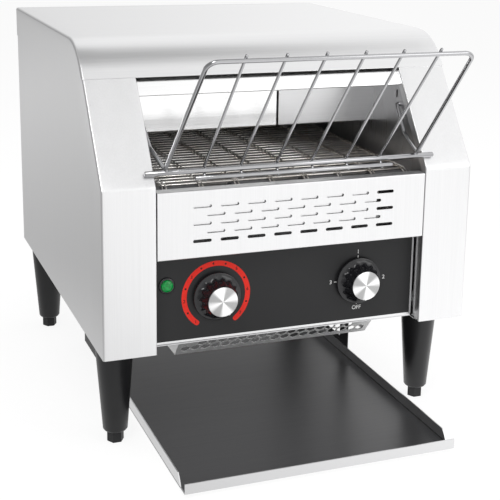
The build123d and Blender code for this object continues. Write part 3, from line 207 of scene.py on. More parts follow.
class KnobSizes(bpy.types.PropertyGroup):
    """Two fluted knobs with turned caps"""
    spread: length("Spread", "each knob from the centre line", 72.3)
    height: length("Height", "height of the knobs' axes", 45.3)
    back: length("Back", "knobs' back behind the pillars' front", 14.4)
    skirt: length("Skirt radius", "radius of the skirt", 23)
    skirt_thickness: length("Skirt thickness", "thickness of the skirt's rim", 3.6)
    flare: length("Flare", "length over which the skirt runs into the grip", 5.2)
    grip: length("Grip radius", "radius of the grip at the skirt", 17.4)
    nose: length("Nose radius", "radius of the grip at its front", 15.2)
    reach: length("Reach", "length of a knob", 19)
    flutes: count("Flutes", "hollows round the grip", 14)
    flute_depth: length("Flute depth", "depth of the hollows", 1.9)
    cap: length("Cap radius", "radius of the metal cap", 14.2)
    cap_recess: length("Cap recess", "how deep the cap's seat lies", 0.8)
    cap_thickness: length("Cap thickness", "thickness of the metal cap", 1.2)
    cavity: length("Cavity radius", "hollow in the knob's back", 10.5)
    cavity_depth: length("Cavity depth", "depth of that hollow", 4)
    bore: length("Bore radius", "hole for the shaft", 3.05)
    bore_depth: length("Bore depth", "hole's depth from the hollow", 11)
    pointer_width: length("Pointer width", "white line on the grip", 1.5)
    speed_turn: angle("Speed pointer", "pointer's place from straight down, towards the right", 27)
    selector_turn: angle("Selector pointer",
                         "pointer's place from straight down, towards the right", 0)


class PrintSizes(bpy.types.PropertyGroup):
    """Print on the dark control overlay"""
    face: length("Overlay face", "overlay's front behind the pillars' front", 15.6)
    ink: length("Ink", "thickness of the print", 0.12)
    arc_outer: length("Arc radius", "outer radius of the dial arc", 33.5)
    arc_width: length("Arc width", "width of the dial arc", 4.9)
    arc_start: angle("Arc start", "left end of the arc, clockwise from the top", -143)
    arc_end: angle("Arc end", "right end of the arc, clockwise from the top", 142)
    mark_first: angle("First mark", "first number on the arc", -140.5)
    mark_last: angle("Last mark", "last number on the arc", 129.5)
    digits: count("Digits", "numbers on the arc", 7)
    dot: length("Dot radius", "radius of the dots on the arc", 0.95)
    mark_front: share("Mark front",
                      "front of the arc's dots and numbers, in thicknesses of ink", 1.6)
    digit_size: length("Digit size", "height of the arc's numbers", 4.2)
    word_size: length("Word size", "height of the selector's words", 5.6)
    word_reach: length("Word reach", "words' distance from the selector's axis", 28.3)
    tick_reach: length("Tick reach", "ticks' distance from the selector's axis", 23.2)
    tick_length: length("Tick length", "length of a tick", 3.2)
    tick_width: length("Tick width", "width of a tick", 0.9)


class LampSizes(bpy.types.PropertyGroup):
    """Green indicator lamp"""
    x: length("Place", "lamp's distance from the centre line", -120)
    z: length("Height", "height of the lamp's axis", 59.7)
    lens: length("Lens radius", "radius of the lens", 5.9)
    bezel: length("Bezel radius", "radius of the bezel", 7.8)
    bezel_thickness: length("Bezel thickness", "bezel in front of the overlay", 1.8)
    rise: length("Lens rise", "lens in front of the bezel", 2.6)
    body: length("Body radius", "radius of the lamp behind the overlay", 5.4)
    body_length: length("Body length", "length of the lamp behind the overlay", 26)
    facets: count("Facets", "flat faces round the lens", 10)


class TraySizes(bpy.types.PropertyGroup):
    """Collection tray"""
    half_width: length("Half width", "centre line to the tray's side", 132.5)
    front: length("Front", "tray's lip in front of the pillars", -82)
    back: length("Back", "tray's rear end behind the pillars' front", 284)
    floor: length("Floor", "underside of the tray's floor", -98)
    sheet: length("Sheet", "thickness of the tray's sheet", 1)
    lip: length("Lip", "height of the front lip", 10.5)
    wall: length("Wall", "height of the side walls", 11.5)
    wall_stop: length("Wall stop", "side walls' start behind the lip", 22)
    chamfer: length("Chamfer", "slant at the side walls' front ends", 8)
    bend: length("Bend", "radius of the tray's folds", 2)


class FootSizes(bpy.types.PropertyGroup):
    """Tapered feet and their adjusters"""
    x: length("Place", "feet from the centre line", 160.9)
    front_y: length("Front feet", "behind the pillars' front", 50)
    rear_y: length("Rear feet", "behind the pillars' front", 376)
    top: length("Top radius", "radius under the casing", 18.7)
    low: length("Lower radius", "radius above the chamfer", 11.8)
    bottom: length("Bottom", "lower end of a foot", -91)
    chamfer: length("Chamfer", "chamfer at the lower end", 2.6)
    ground: length("Ground", "surface that the adjusters stand on", -102)
    hexagon: length("Hexagon radius", "corner radius of an adjuster", 8.1)
    stem: length("Stem radius", "radius of the adjuster's screw", 4)
    stem_length: length("Stem length", "length of the adjuster's screw", 42)


class Colours(bpy.types.PropertyGroup):
    """Base colours of the finishes"""
    steel: colour("Steel", "brushed stainless sheet", 0.80, 0.80, 0.805)
    plain_steel: colour("Plain steel", "mill-finish sheet inside the casing", 0.62, 0.62, 0.63)
    # Painted light: lighter than the casing steel, so that sheet in the shaded mouth shows brighter
    painted_light_sheet: colour("Baffle", "bright sheet at the back of the mouth", 0.97, 0.97, 0.97)
    tray: colour("Tray", "sheet of the tray's lip and walls", 0.66, 0.66, 0.665)
    # Painted shade: the tray floor is dark where the steel would mirror the shaded underside of the
    # casing
    painted_shade_tray_floor: colour("Tray floor", "dark coating on the tray's floor", 0.045, 0.045, 0.047)
    bright_wire: colour("Bright wire", "plated feed rack", 0.44, 0.44, 0.45)
    belt_wire: colour("Belt wire", "bare stainless wire", 0.93, 0.92, 0.90)
    shaft: colour("Shaft", "turned steel", 0.55, 0.55, 0.56)
    sleeve: colour("Sleeve", "dark heat-resistant coating", 0.075, 0.075, 0.08)
    overlay: colour("Overlay", "satin dark grey film", 0.021, 0.021, 0.022)
    knob: colour("Knob", "glossy black moulding", 0.012, 0.012, 0.014)
    cap: colour("Cap", "spun metal", 0.82, 0.82, 0.82)
    dial_red: colour("Dial red", "printed dial arc", 1.0, 0.032, 0.018)
    white_ink: colour("White ink", "printed ticks and words", 0.86, 0.86, 0.85)
    black_ink: colour("Black ink", "dots and numbers on the arc", 0.03, 0.004, 0.004)
    lamp: colour("Lamp", "green lens", 0.001, 0.34, 0.06)
    foot: colour("Foot", "black moulded feet", 0.012, 0.012, 0.013)
    quartz: colour("Quartz", "heater tubes", 0.80, 0.76, 0.73)
    ceramic: colour("Ceramic", "heater end caps", 0.80, 0.77, 0.70)
    zinc: colour("Zinc", "plated motor and brackets", 0.52, 0.53, 0.55)
    nylon: colour("Nylon", "terminal block", 0.78, 0.78, 0.74)
    bronze: colour("Bronze", "sintered bushes", 0.60, 0.40, 0.20)


class StageSettings(bpy.types.PropertyGroup):
    """Camera, lights and floor"""
    camera_x: length("Camera X", "camera's place", -405.6)
    camera_y: length("Camera Y", "camera's place", -1122.3)
    camera_z: length("Camera Z", "camera's height", 509.7)
    heading: angle("Heading", "camera's direction from +Y towards +X", 21.77)
    tilt: angle("Tilt", "camera's direction above the horizon", -13.47)
    roll: angle("Roll", "camera's turn about its own direction", 1.14)
    lens: FloatProperty(name="Lens", description="focal length in millimetres", default=84.28)
    shift_x: share("Shift X", "sideways shift of the picture", -0.05)
    shift_y: share("Shift Y", "upward shift of the picture", -0.15)
    dark_level: share("Dark side", "what metal mirrors on the left and behind", 0.46)
    bright_level: share("Bright side", "what metal mirrors on the right and in front", 1.32)
    zenith_level: share("Zenith", "share of that level straight above", 0.36)
    rear_level: share("Rear floor", "what metal mirrors of the floor two metres behind", 0.88)
    right_level: share("Right floor", "share of the floor's level to the right of the casing", 0.62)
    room_level: share("Room", "share of the levels that the room itself has", 0.88)
    backdrop_level: share("Backdrop", "brightness of the floor in sight", 1.12)
    shadow_share: share("Shadow", "how much of the floor in sight is matt and keeps a shadow", 0.22)
    floor_tone: colour("Floor tone", "matt floor under its shadow", 0.82, 0.82, 0.82)
    floor_half: length("Floor half", "centre to the floor's edges", 6000)
    ambient: share("Ambient", "strength of the room's soft light", 0.44)
    overhead: share("Overhead lamp", "brightness of the large overhead softbox", 1.7)
    fill: share("Front lamp", "brightness of the front softbox", 1.5)
    strip: share("Strip lamp", "brightness of the narrow lamp at the upper left", 7.0)


# ---- Shapes --------------------------------------------------------------------------------
def grid(points, wrap_rows=False, wrap_columns=False, cap_rows=False):
    """Quads over rows and columns of points; a wrapped direction joins its last line to its first.

    With cap_rows the first and the last row are closed by one flat face each.
    """
    rows, columns = points.shape[:2]
    index = np.arange(rows * columns).reshape(rows, columns)
    if wrap_rows:
        index = np.vstack([index, index[:1]])
    if wrap_columns:
        index = np.hstack([index, index[:, :1]])
    quads = np.stack([index[:-1, :-1], index[1:, :-1], index[1:, 1:], index[:-1, 1:]], axis=-1)
    faces = [quads.reshape(-1, 4)]
    if cap_rows:
        faces += [np.arange(columns)[None, :], (rows * columns - 1 - np.arange(columns))[None, :]]
    return points.reshape(-1, 3), faces


def joined(shapes):
    """One shape from several: points stacked, each shape's faces shifted past the points before."""
    shapes = list(shapes)
    starts = np.cumsum([0] + [len(points) for points, _ in shapes[:-1]])
    points = np.vstack([points for points, _ in shapes])
    return points, [face + start for (_, faces), start in zip(shapes, starts) for face in faces]


def mirrored(shape):
    """The shape on the other side of the centre line: X changes sign, so each face turns round."""
    points, faces = shape
    return points * (-1, 1, 1), [face[:, ::-1] for face in faces]


def unit(vectors):
    """Vectors divided by their lengths."""
    return vectors / np.linalg.norm(vectors, axis=-1, keepdims=True)


def bent(points, radii, steps=6):
    """Path through points whose corners are arcs that touch both runs.

    An arc of radius r over a turn of angle a starts r tan(a / 2) before its corner, and a point at
    angle t on it is the centre minus r cos(t) towards the inside plus r sin(t) along the first run.
    """
    points = np.asarray(points, float)
    radii = np.broadcast_to(radii, len(points) - 2)
    path = [points[:1]]
    for corner, radius in enumerate(radii, start=1):
        before = unit(points[corner] - points[corner - 1])
        after = unit(points[corner + 1] - points[corner])
        turn = math.acos(np.clip(before @ after, -1, 1))
        inward = unit(after - before * math.cos(turn))
        start = points[corner] - before * radius * math.tan(turn / 2)
        t = np.linspace(0, turn, steps + 1)[:, None]
        path.append(start + radius * (inward * (1 - np.cos(t)) + before * np.sin(t)))
    path.append(points[-1:])
    return np.vstack(path)


def tube(path, radius, sides=12, reference=Z_AXIS, rounding=0.35):
    """Round wire along a path: circles of the radius across it.

    A circle's axes are the path's direction crossed with the reference, and that crossed with the
    direction. Each end is drawn in over a short length and closed flat.
    """
    path = np.asarray(path, float)
    along = unit(np.gradient(path, axis=0))
    side = unit(np.cross(along, reference))
    up = np.cross(side, along)
    inset = radius * rounding
    centres = np.vstack([path[:1], path[:1] + along[:1] * inset, path[1:-1],
                         path[-1:] - along[-1:] * inset, path[-1:]])
    side = np.vstack([side[:1], side, side[-1:]])
    up = np.vstack([up[:1], up, up[-1:]])
    radii = np.full(len(centres), radius)
    radii[[0, -1]] = radius - inset
    turn = np.linspace(0, FULL_TURN, sides, endpoint=False)
    ring = np.cos(turn)[None, :, None] * side[:, None] + np.sin(turn)[None, :, None] * up[:, None]
    return grid(centres[:, None] + radii[:, None, None] * ring, wrap_columns=True, cap_rows=True)


def turned(profile, centre, axis, sides=48, ring=False):
    """Surface of revolution: a profile of (radius, distance along the axis) carried round the axis.

    A ring profile is closed on itself; any other is closed by a flat face at either end.
    """
    profile = np.asarray(profile, float)
    along, first, second = (AXES[(axis + step) % 3] for step in range(3))
    turn = np.linspace(0, FULL_TURN, sides, endpoint=False)
    circle = np.cos(turn)[:, None] * first + np.sin(turn)[:, None] * second
    points = np.asarray(centre, float) + profile[:, 1, None, None] * along \
        + profile[:, 0, None, None] * circle[None]
    return grid(points, wrap_rows=ring, wrap_columns=True, cap_rows=not ring)


def carried_across(line, ends):
    """Closed shape from an outline at its two ends, whose second half runs back along the line.

    The ends are closed by quads between the outline's two halves.
    """
    points, faces = grid(ends, wrap_columns=True)
    total, first = ends.shape[1], np.arange(len(line) - 1)
    strip = np.stack([first, first + 1, total - 2 - first, total - 1 - first], axis=1)
    return points, faces + [strip, strip[:, ::-1] + total]


def folded_sheet(profile, thickness, x_low, x_high):
    """Sheet folded along a (Y, Z) profile: the profile and its copy moved along the normals by the
    thickness make a closed outline, which is carried from one X to the other."""
    profile = np.asarray(profile, float)
    along = unit(np.gradient(profile, axis=0))
    inner = profile + np.stack([-along[:, 1], along[:, 0]], axis=1) * thickness
    outline = np.vstack([profile, inner[::-1]])
    ends = np.stack([np.column_stack([np.full(len(outline), x), outline]) for x in (x_low, x_high)])
    return carried_across(profile, ends)


def flat_plate(outline, thickness, axis):
    """Closed plate: an outline of points in one plane and its copy moved along an axis."""
    outline = np.asarray(outline, float)
    return grid(np.stack([outline, outline + AXES[axis] * thickness]),
                wrap_columns=True, cap_rows=True)


def bead(centre, radii, sides=10, rows=6):
    """Small weld bead: an ellipsoid whose rows of circles shrink as the sine towards its poles."""
    pole = 0.12
    latitude = np.linspace(pole, math.pi - pole, rows)[:, None]
    turn = np.linspace(0, FULL_TURN, sides, endpoint=False)
    points = np.stack([np.sin(latitude) * np.cos(turn), np.sin(latitude) * np.sin(turn),
                       np.cos(latitude) * np.ones(sides)], axis=-1)
    return grid(np.asarray(centre) + points * radii, wrap_columns=True, cap_rows=True)


def piece(name, shape, material, body="casing", replaces=(), crease=32.0, outward=None):
    """Puts a shape into the scene as one mesh object that rides on a body.

    Double points are merged. Faces of closed shapes are turned outwards. An open skin comes with
    its outward direction, and is turned round as a whole if its faces look the other way.
    """
    points, faces = shape
    mesh = bpy.data.meshes.new(name)
    corners = np.concatenate([face.ravel() for face in faces]).astype(np.int32)
    totals = np.concatenate([np.full(len(face), face.shape[1]) for face in faces])
    mesh.vertices.add(len(points))
    mesh.vertices.foreach_set("co", (points + CORNER).astype(np.float32).ravel())
    mesh.loops.add(len(corners))
    mesh.loops.foreach_set("vertex_index", corners)
    mesh.polygons.add(len(totals))
    mesh.polygons.foreach_set("loop_start", (np.cumsum(totals) - totals).astype(np.int32))
    mesh.update(calc_edges=True)
    mesh.validate()
    work = bmesh.new()
    work.from_mesh(mesh)
    bmesh.ops.remove_doubles(work, verts=work.verts, dist=MERGE_WITHIN)
    if outward is None:
        bmesh.ops.recalc_face_normals(work, faces=work.faces)
    elif sum((face.normal * face.calc_area() for face in work.faces), Vector()).dot(outward) < 0:
        bmesh.ops.reverse_faces(work, faces=work.faces)
    work.to_mesh(mesh)
    work.free()
    mesh.shade_smooth()
    mesh.set_sharp_from_angle(angle=math.radians(crease))
    mesh.materials.append(material)
    thing = bpy.data.objects.new(name, mesh)
    bpy.context.scene.collection.objects.link(thing)
    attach(thing, body)
    if replaces:
        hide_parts(*replaces)
    return thing


def thicken(thing, thickness):
    """Gives a skin its sheet thickness on the inner side, with sharp edges along its open rims."""
    mesh = thing.data
    edges = np.zeros(len(mesh.loops), np.int32)
    mesh.loops.foreach_get("edge_index", edges)
    sharp = np.zeros(len(mesh.edges), bool)
    mesh.edges.foreach_get("use_edge_sharp", sharp)
    mesh.edges.foreach_set("use_edge_sharp",
                           sharp | (np.bincount(edges, minlength=len(sharp)) == 1))
    solid = thing.modifiers.new("sheet", "SOLIDIFY")
    solid.thickness = thickness
    solid.offset = -1


# ---- Shader nodes --------------------------------------------------------------------------
def node(tree, kind, inputs, **settings):
    """Adds a node, with settings as attributes and inputs as values or linked sockets."""
    made = tree.nodes.new(kind)
    for key, value in settings.items():
        setattr(made, key, value)
    for key, value in inputs.items():
        if isinstance(value, bpy.types.NodeSocket):
            tree.links.new(value, made.inputs[key])
        else:
            made.inputs[key].default_value = value
    return made


def ramp(tree, value, start, end, low, high):
    """A value moved from the range start to end into the range low to high."""
    return node(tree, "ShaderNodeMapRange", {"Value": value, "From Min": start, "From Max": end,
                                             "To Min": low, "To Max": high}).outputs["Result"]


def maths(tree, operation, first, second=0.0):
    """One arithmetic step on two values."""
    return node(tree, "ShaderNodeMath", {0: first, 1: second}, operation=operation).outputs[0]


def parts_of(tree, vector):
    """The three coordinates of a vector."""
    return node(tree, "ShaderNodeSeparateXYZ", {"Vector": vector}).outputs


def reach(tree, vector, direction):
    """How far a vector reaches along a direction."""
    return node(tree, "ShaderNodeVectorMath", {0: vector, 1: direction},
                operation="DOT_PRODUCT").outputs["Value"]


# ---- Finishes ------------------------------------------------------------------------------
class Finish:
    """A node material: one Principled shader, fed by patterns in object coordinates."""

    def __init__(self, name, base, metallic=0.0, roughness=0.5, **constants):
        self.material = bpy.data.materials.new(name)
        self.material.use_nodes = True
        self.tree = self.material.node_tree
        self.shader = self.tree.nodes["Principled BSDF"]
        self.base = tuple(base)
        self.set("Base Color", (*self.base, 1))
        self.set("Metallic", metallic)
        self.set("Roughness", roughness)
        for socket, value in constants.items():
            self.set(socket.replace("_", " "), value)
        self.coordinates = self.node("ShaderNodeTexCoord", {}).outputs["Object"]

    def set(self, socket, value):
        """Sets one of the shader's own values."""
        self.shader.inputs[socket].default_value = value

    def node(self, kind, inputs, **settings):
        """Adds a node to the finish."""
        return node(self.tree, kind, inputs, **settings)

    def link(self, value, socket):
        """Links a value to one of the shader's sockets."""
        self.tree.links.new(value, self.shader.inputs[socket])

    def mapped(self, scale=1.0, place=(0, 0, 0)):
        """Object coordinates moved and scaled, by one number or by one for each axis."""
        scale = [float(number) for number in np.broadcast_to(scale, 3)]
        return self.node("ShaderNodeMapping", {"Vector": self.coordinates, "Scale": scale,
                                               "Location": place}).outputs["Vector"]

    def noise(self, scale, detail=3.0, rough=0.6):
        """Soft random pattern from 0 to 1; its scale is waves per metre, for each axis or for all."""
        return self.node("ShaderNodeTexNoise",
                         {"Vector": self.mapped(scale), "Scale": 1.0, "Detail": detail,
                          "Roughness": rough}).outputs["Fac"]

    def ranged(self, value, low, high, start=0.25, end=0.75):
        """A value carried from start..end, by default a noise's middle half, over to low..high."""
        return ramp(self.tree, value, start, end, low, high)

    def maths(self, operation, first, second=0.0):
        """One arithmetic step on two values."""
        return maths(self.tree, operation, first, second)

    def coloured(self, factor, first, second, **settings):
        """Base colour mixed from two by a factor; a mix's colours are its inputs 6 and 7."""
        mix = self.node("ShaderNodeMix", {0: factor, 6: first, 7: second}, data_type="RGBA",
                        **settings)
        self.link(mix.outputs[2], "Base Color")

    def tint(self, value, dark, light=1.0):
        """Base colour times a share that goes with the value from dark to light."""
        self.coloured(self.ranged(value, dark, light), BLACK, (*self.base, 1), clamp_factor=False)

    def blend(self, value, first, second, **limits):
        """Base colour that goes with the value from the first colour to the second."""
        self.coloured(self.ranged(value, 0, 1, **limits), (*first, 1), (*second, 1))

    def gloss(self, value, low, high):
        """Roughness that goes with the value from low to high."""
        self.link(self.ranged(value, low, high), "Roughness")

    def relief(self, value, height, strength=0.5):
        """Bump of the given height in millimetres."""
        bump = self.node("ShaderNodeBump", {"Height": value, "Distance": height * MM,
                                            "Strength": strength})
        self.link(bump.outputs["Normal"], "Normal")

    def worn(self, shade, tones, grain, gloss, height, strength=0.5):
        """Tones from one pattern, gloss and bump from another."""
        self.tint(shade, *tones)
        self.gloss(grain, *gloss)
        self.relief(grain, height, strength)
        return self.material


FINISHES = {}


def finish(maker):
    """Marks a finish: it is made once, on its first use, from the scene's colours."""
    def made():
        if maker.__name__ not in FINISHES:
            FINISHES[maker.__name__] = maker(bpy.context.scene.toaster_colours)
        return FINISHES[maker.__name__]
    return made


def brushed(name, base, along, roughness=(0.26, 0.40), tone=0.90):
    """Brushed sheet: fine scratches drawn out along one axis, over broader soft streaks."""
    fine, broad, scratch_share = [900.0] * 3, [120.0] * 3, 0.7
    fine[along], broad[along] = 9.0, 1.5
    sheet = Finish(name, base, metallic=1.0)
    scratches = sheet.noise(fine, detail=4.0, rough=0.7)
    streaks = sheet.noise(broad, detail=2.0)
    both = sheet.maths("ADD", sheet.maths("MULTIPLY", scratches, scratch_share),
                       sheet.maths("MULTIPLY", streaks, 1 - scratch_share))
    sheet.tint(both, tone)
    sheet.gloss(both, *roughness)
    sheet.relief(scratches, 0.02)
    return sheet.material


@finish
def cover_steel(colours):
    """Stainless sheet brushed from side to side"""
    return brushed("cover_steel", colours.steel, X)


@finish
def panel_steel(colours):
    """Stainless sheet brushed upright"""
    return brushed("panel_steel", colours.steel, Z)


@finish
def inner_steel(colours):
    """Mill-finish sheet inside the mouth, faintly clouded by heat"""
    sheet = Finish("inner_steel", colours.plain_steel, metallic=1.0)
    clouds = sheet.noise(14, detail=4.0)
    grain = sheet.noise((700, 700, 12))
    return sheet.worn(clouds, (0.86, 1.0), grain, (0.24, 0.40), 0.02, 0.4)


@finish
def painted_light_baffle_steel(colours):
    """Bright sheet at the back of the mouth, brushed from side to side; its extra brightness is
    painted light
    """
    return brushed("painted_light_baffle_steel", colours.painted_light_sheet, X, roughness=(0.14, 0.24))


@finish
def deflector_steel(colours):
    """Perforated sheet with a dull brushed face"""
    # The deflector takes the same lightened colour, which paints light on it too
    return brushed("deflector_steel", colours.painted_light_sheet, X, roughness=(0.55, 0.70))


@finish
def tray_steel(colours):
    """Bare brushed sheet whose floor is painted dark as painted shade, for the shaded underside of
    the casing that the steel floor mirrors

    The painted shade is where the sheet lies within a fraction of a millimetre of the floor's upper
    face, inside the lip and the side walls.
    """
    t = bpy.context.scene.toaster_tray
    above, below, aside = 0.6 * MM, 0.3 * MM, 0.1 * MM
    painted_shade_metallic = 0.35
    tray = Finish("tray_steel", colours.tray, metallic=1.0)
    grain = tray.noise((9, 900, 900), detail=4.0, rough=0.7)
    parts = parts_of(tray.tree, tray.coordinates)
    level = t.floor + t.sheet + CORNER[2]
    low = tray.maths("LESS_THAN", parts["Z"], level + above)
    high = tray.maths("GREATER_THAN", parts["Z"], level - below)
    across = tray.maths("LESS_THAN", tray.maths("ABSOLUTE", parts["X"]),
                        t.half_width - t.sheet + aside)
    behind = tray.maths("GREATER_THAN", parts["Y"], t.front + t.bend + CORNER[1])
    painted_shade_mask = tray.maths("MULTIPLY", tray.maths("MULTIPLY", low, high),
                        tray.maths("MULTIPLY", across, behind))
    # Painted shade: the floor's upper face takes the dark colour and is less metallic
    tray.blend(painted_shade_mask, tray.base, colours.painted_shade_tray_floor, start=0.0, end=1.0)
    tray.link(tray.ranged(painted_shade_mask, 1.0, painted_shade_metallic, start=0.0, end=1.0), "Metallic")
    tray.gloss(grain, 0.26, 0.40)
    tray.relief(grain, 0.02)
    return tray.material


@finish
def rack_chrome(colours):
    """Bright plated wire"""
    wire = Finish("rack_chrome", colours.bright_wire, metallic=1.0)
    ripple = wire.noise(160, detail=2.0)
    return wire.worn(ripple, (0.94, 1.0), ripple, (0.07, 0.16), 0.06, 0.25)


@finish
def belt_steel(colours):
    """Bare stainless wire, slightly browned in places by the heat"""
    wire = Finish("belt_steel", colours.belt_wire, metallic=1.0)
    heat = wire.noise(22)
    drawn = wire.noise((8, 900, 900), detail=2.0)
    browned = tuple(channel * tone for channel, tone in zip(wire.base, (0.80, 0.74, 0.68)))
    wire.blend(heat, browned, wire.base)
    wire.gloss(drawn, 0.18, 0.32)
    wire.relief(drawn, 0.03, 0.3)
    return wire.material


@finish
def shaft_steel(colours):
    """Turned steel with fine rings"""
    shaft = Finish("shaft_steel", colours.shaft, metallic=1.0)
    rings = shaft.noise((1500, 30, 30), detail=2.0)
    return shaft.worn(rings, (0.85, 1.0), rings, (0.22, 0.38), 0.02)


@finish
def sleeve_coat(colours):
    """Dark coating with a fine sprayed grain"""
    coat = Finish("sleeve_coat", colours.sleeve, roughness=0.45)
    return coat.worn(coat.noise(60), (0.70, 1.25), coat.noise(1800, detail=2.0), (0.34, 0.52), 0.06)


@finish
def overlay_film(colours):
    """Satin film with a fine pebble"""
    film = Finish("overlay_film", colours.overlay, roughness=0.42, Specular_IOR_Level=0.28)
    sheen, pebble = film.noise(9, detail=2.0), film.noise(2600, detail=2.0)
    return film.worn(sheen, (0.88, 1.10), pebble, (0.36, 0.50), 0.04)


@finish
def knob_black(colours):
    """Glossy black moulding with faint moulding waves"""
    moulding = Finish("knob_black", colours.knob, roughness=0.16)
    waves = moulding.noise(90)
    return moulding.worn(waves, (0.75, 1.2), waves, (0.12, 0.24), 0.05, 0.25)


def painted_reflection_spun_metal(name, base, centre):
    """Spun cap: a painted reflection of light and grey wedges that meet at the centre, under fine
    rings.

    The painted reflection's wedges are the sum of two cosines of the angle round the axis: grey below
    a narrow range of it and white above. They are painted highlights standing in for the lights that
    a spun face mirrors. The rings are noise of the radius.
    """
    # grey is the base colour's share in the dark wedges of the painted reflection
    painted_wedge_range, rings_per_metre, grey = (-0.20, 0.24), 5200.0, 0.50
    cap = Finish(name, base, metallic=1.0)
    local = cap.mapped(place=tuple(-value for value in centre))
    parts = parts_of(cap.tree, local)
    turn = cap.maths("ARCTAN2", parts["X"], parts["Z"])

    def wave(pairs, phase, weight):
        """Weight times the cosine of so many turns plus a phase."""
        angles = cap.maths("ADD", cap.maths("MULTIPLY", turn, pairs), phase)
        return cap.maths("MULTIPLY", cap.maths("COSINE", angles), weight)

    painted_reflection_wedges = cap.maths("ADD", wave(4.0, 1.2, 0.34), wave(2.0, 0.6, 0.16))
    level = cap.ranged(painted_reflection_wedges, 0.0, 1.0, *painted_wedge_range)
    radius = cap.node("ShaderNodeVectorMath", {0: local}, operation="LENGTH").outputs["Value"]
    rings = cap.node("ShaderNodeTexNoise", {"W": cap.maths("MULTIPLY", radius, rings_per_metre),
                                            "Scale": 1.0, "Detail": 2.0}, noise_dimensions="1D")
    # Painted reflection: the base colour goes from grey to white with the wedges
    cap.blend(level, tuple(channel * grey for channel in cap.base), WHITE[:3], start=0.0, end=1.0)
    cap.gloss(rings.outputs["Fac"], 0.26, 0.42)
    cap.relief(rings.outputs["Fac"], 0.03)
    return cap.material


def ink(name, base):
    """Screen-printed ink with a faint unevenness"""
    print_coat = Finish(name, base, roughness=0.5, Specular_IOR_Level=0.3)
    film = print_coat.noise(500, detail=2.0)
    print_coat.tint(film, 0.90)
    print_coat.gloss(film, 0.40, 0.60)
    return print_coat.material


@finish
def red_ink(colours):
    """Red of the dial arc"""
    return ink("red_ink", colours.dial_red)


@finish
def white_ink(colours):
    """White of words, ticks and pointers"""
    return ink("white_ink", colours.white_ink)


@finish
def black_ink(colours):
    """Black of the arc's dots and numbers"""
    return ink("black_ink", colours.black_ink)


@finish
def lamp_glass(colours):
    """Green lens, unevenly deep in colour, under a clear coat"""
    glass = Finish("lamp_glass", colours.lamp, roughness=0.18, Specular_IOR_Level=0.3,
                   Coat_Weight=0.25, Coat_Roughness=0.04)
    depth = glass.noise(420, detail=2.0)
    glass.tint(depth, 0.60, 1.3)
    glass.relief(depth, 0.1, 0.3)
    return glass.material


def moulded(name, base, roughness, grain=1400.0, height=0.04, tone=(0.8, 1.15)):
    """Moulded plastic with a fine eroded grain"""
    plastic = Finish(name, base, roughness=sum(roughness) / 2, Specular_IOR_Level=0.35)
    return plastic.worn(plastic.noise(35, detail=2.0), tone, plastic.noise(grain), roughness,
                        height)


@finish
def foot_black(colours):
    """Semi-gloss black moulded feet"""
    return moulded("foot_black", colours.foot, (0.28, 0.42))


@finish
def adjuster_black(colours):
    """Matt black adjusters"""
    return moulded("adjuster_black", colours.foot, (0.45, 0.62))


@finish
def fan_black(colours):
    """Matt black fan mouldings"""
    return moulded("fan_black", colours.foot, (0.40, 0.58))


@finish
def pad_rubber(colours):
    """Dull rubber with a coarse grain"""
    return moulded("pad_rubber", colours.sleeve, (0.70, 0.85), grain=900.0, height=0.1,
                   tone=(0.55, 0.8))


@finish
def nylon(colours):
    """White moulded nylon"""
    return moulded("nylon", colours.nylon, (0.42, 0.55), tone=(0.93, 1.03))


@finish
def ceramic(colours):
    """Unglazed steatite with fine specks"""
    return moulded("ceramic", colours.ceramic, (0.62, 0.80), grain=2400.0, tone=(0.88, 1.04))


@finish
def quartz_glass(colours):
    """Frosted quartz, ribbed inside by its heating coil"""
    tube_glass = Finish("quartz_glass", colours.quartz, roughness=0.3, Transmission_Weight=0.25,
                        IOR=1.46)
    coil = tube_glass.node("ShaderNodeTexWave",
                           {"Vector": tube_glass.mapped((330, 40, 40)), "Scale": 1.0,
                            "Distortion": 0.6, "Detail": 1.0}).outputs["Fac"]
    shaded = tuple(channel * 0.45 for channel in tube_glass.base)
    tube_glass.blend(coil, shaded, tube_glass.base)
    tube_glass.gloss(coil, 0.22, 0.38)
    return tube_glass.material


@finish
def zinc_plate(colours):
    """Zinc plating with faint spangle"""
    plate = Finish("zinc_plate", colours.zinc, metallic=1.0)
    spangle = plate.node("ShaderNodeTexVoronoi", {"Vector": plate.mapped(130), "Scale": 1.0})
    plate.tint(spangle.outputs["Distance"], 0.80)
    plate.gloss(spangle.outputs["Distance"], 0.30, 0.48)
    return plate.material


@finish
def screw_steel(colours):
    """Bright zinc of small screws"""
    return brushed("screw_steel", colours.zinc, Z, roughness=(0.2, 0.3), tone=0.8)


@finish
def sintered_bronze(colours):
    """Porous sintered bronze"""
    bush = Finish("sintered_bronze", colours.bronze, metallic=1.0)
    pores = bush.noise(1600)
    return bush.worn(pores, (0.6, 1.0), pores, (0.30, 0.50), 0.08, 0.6)


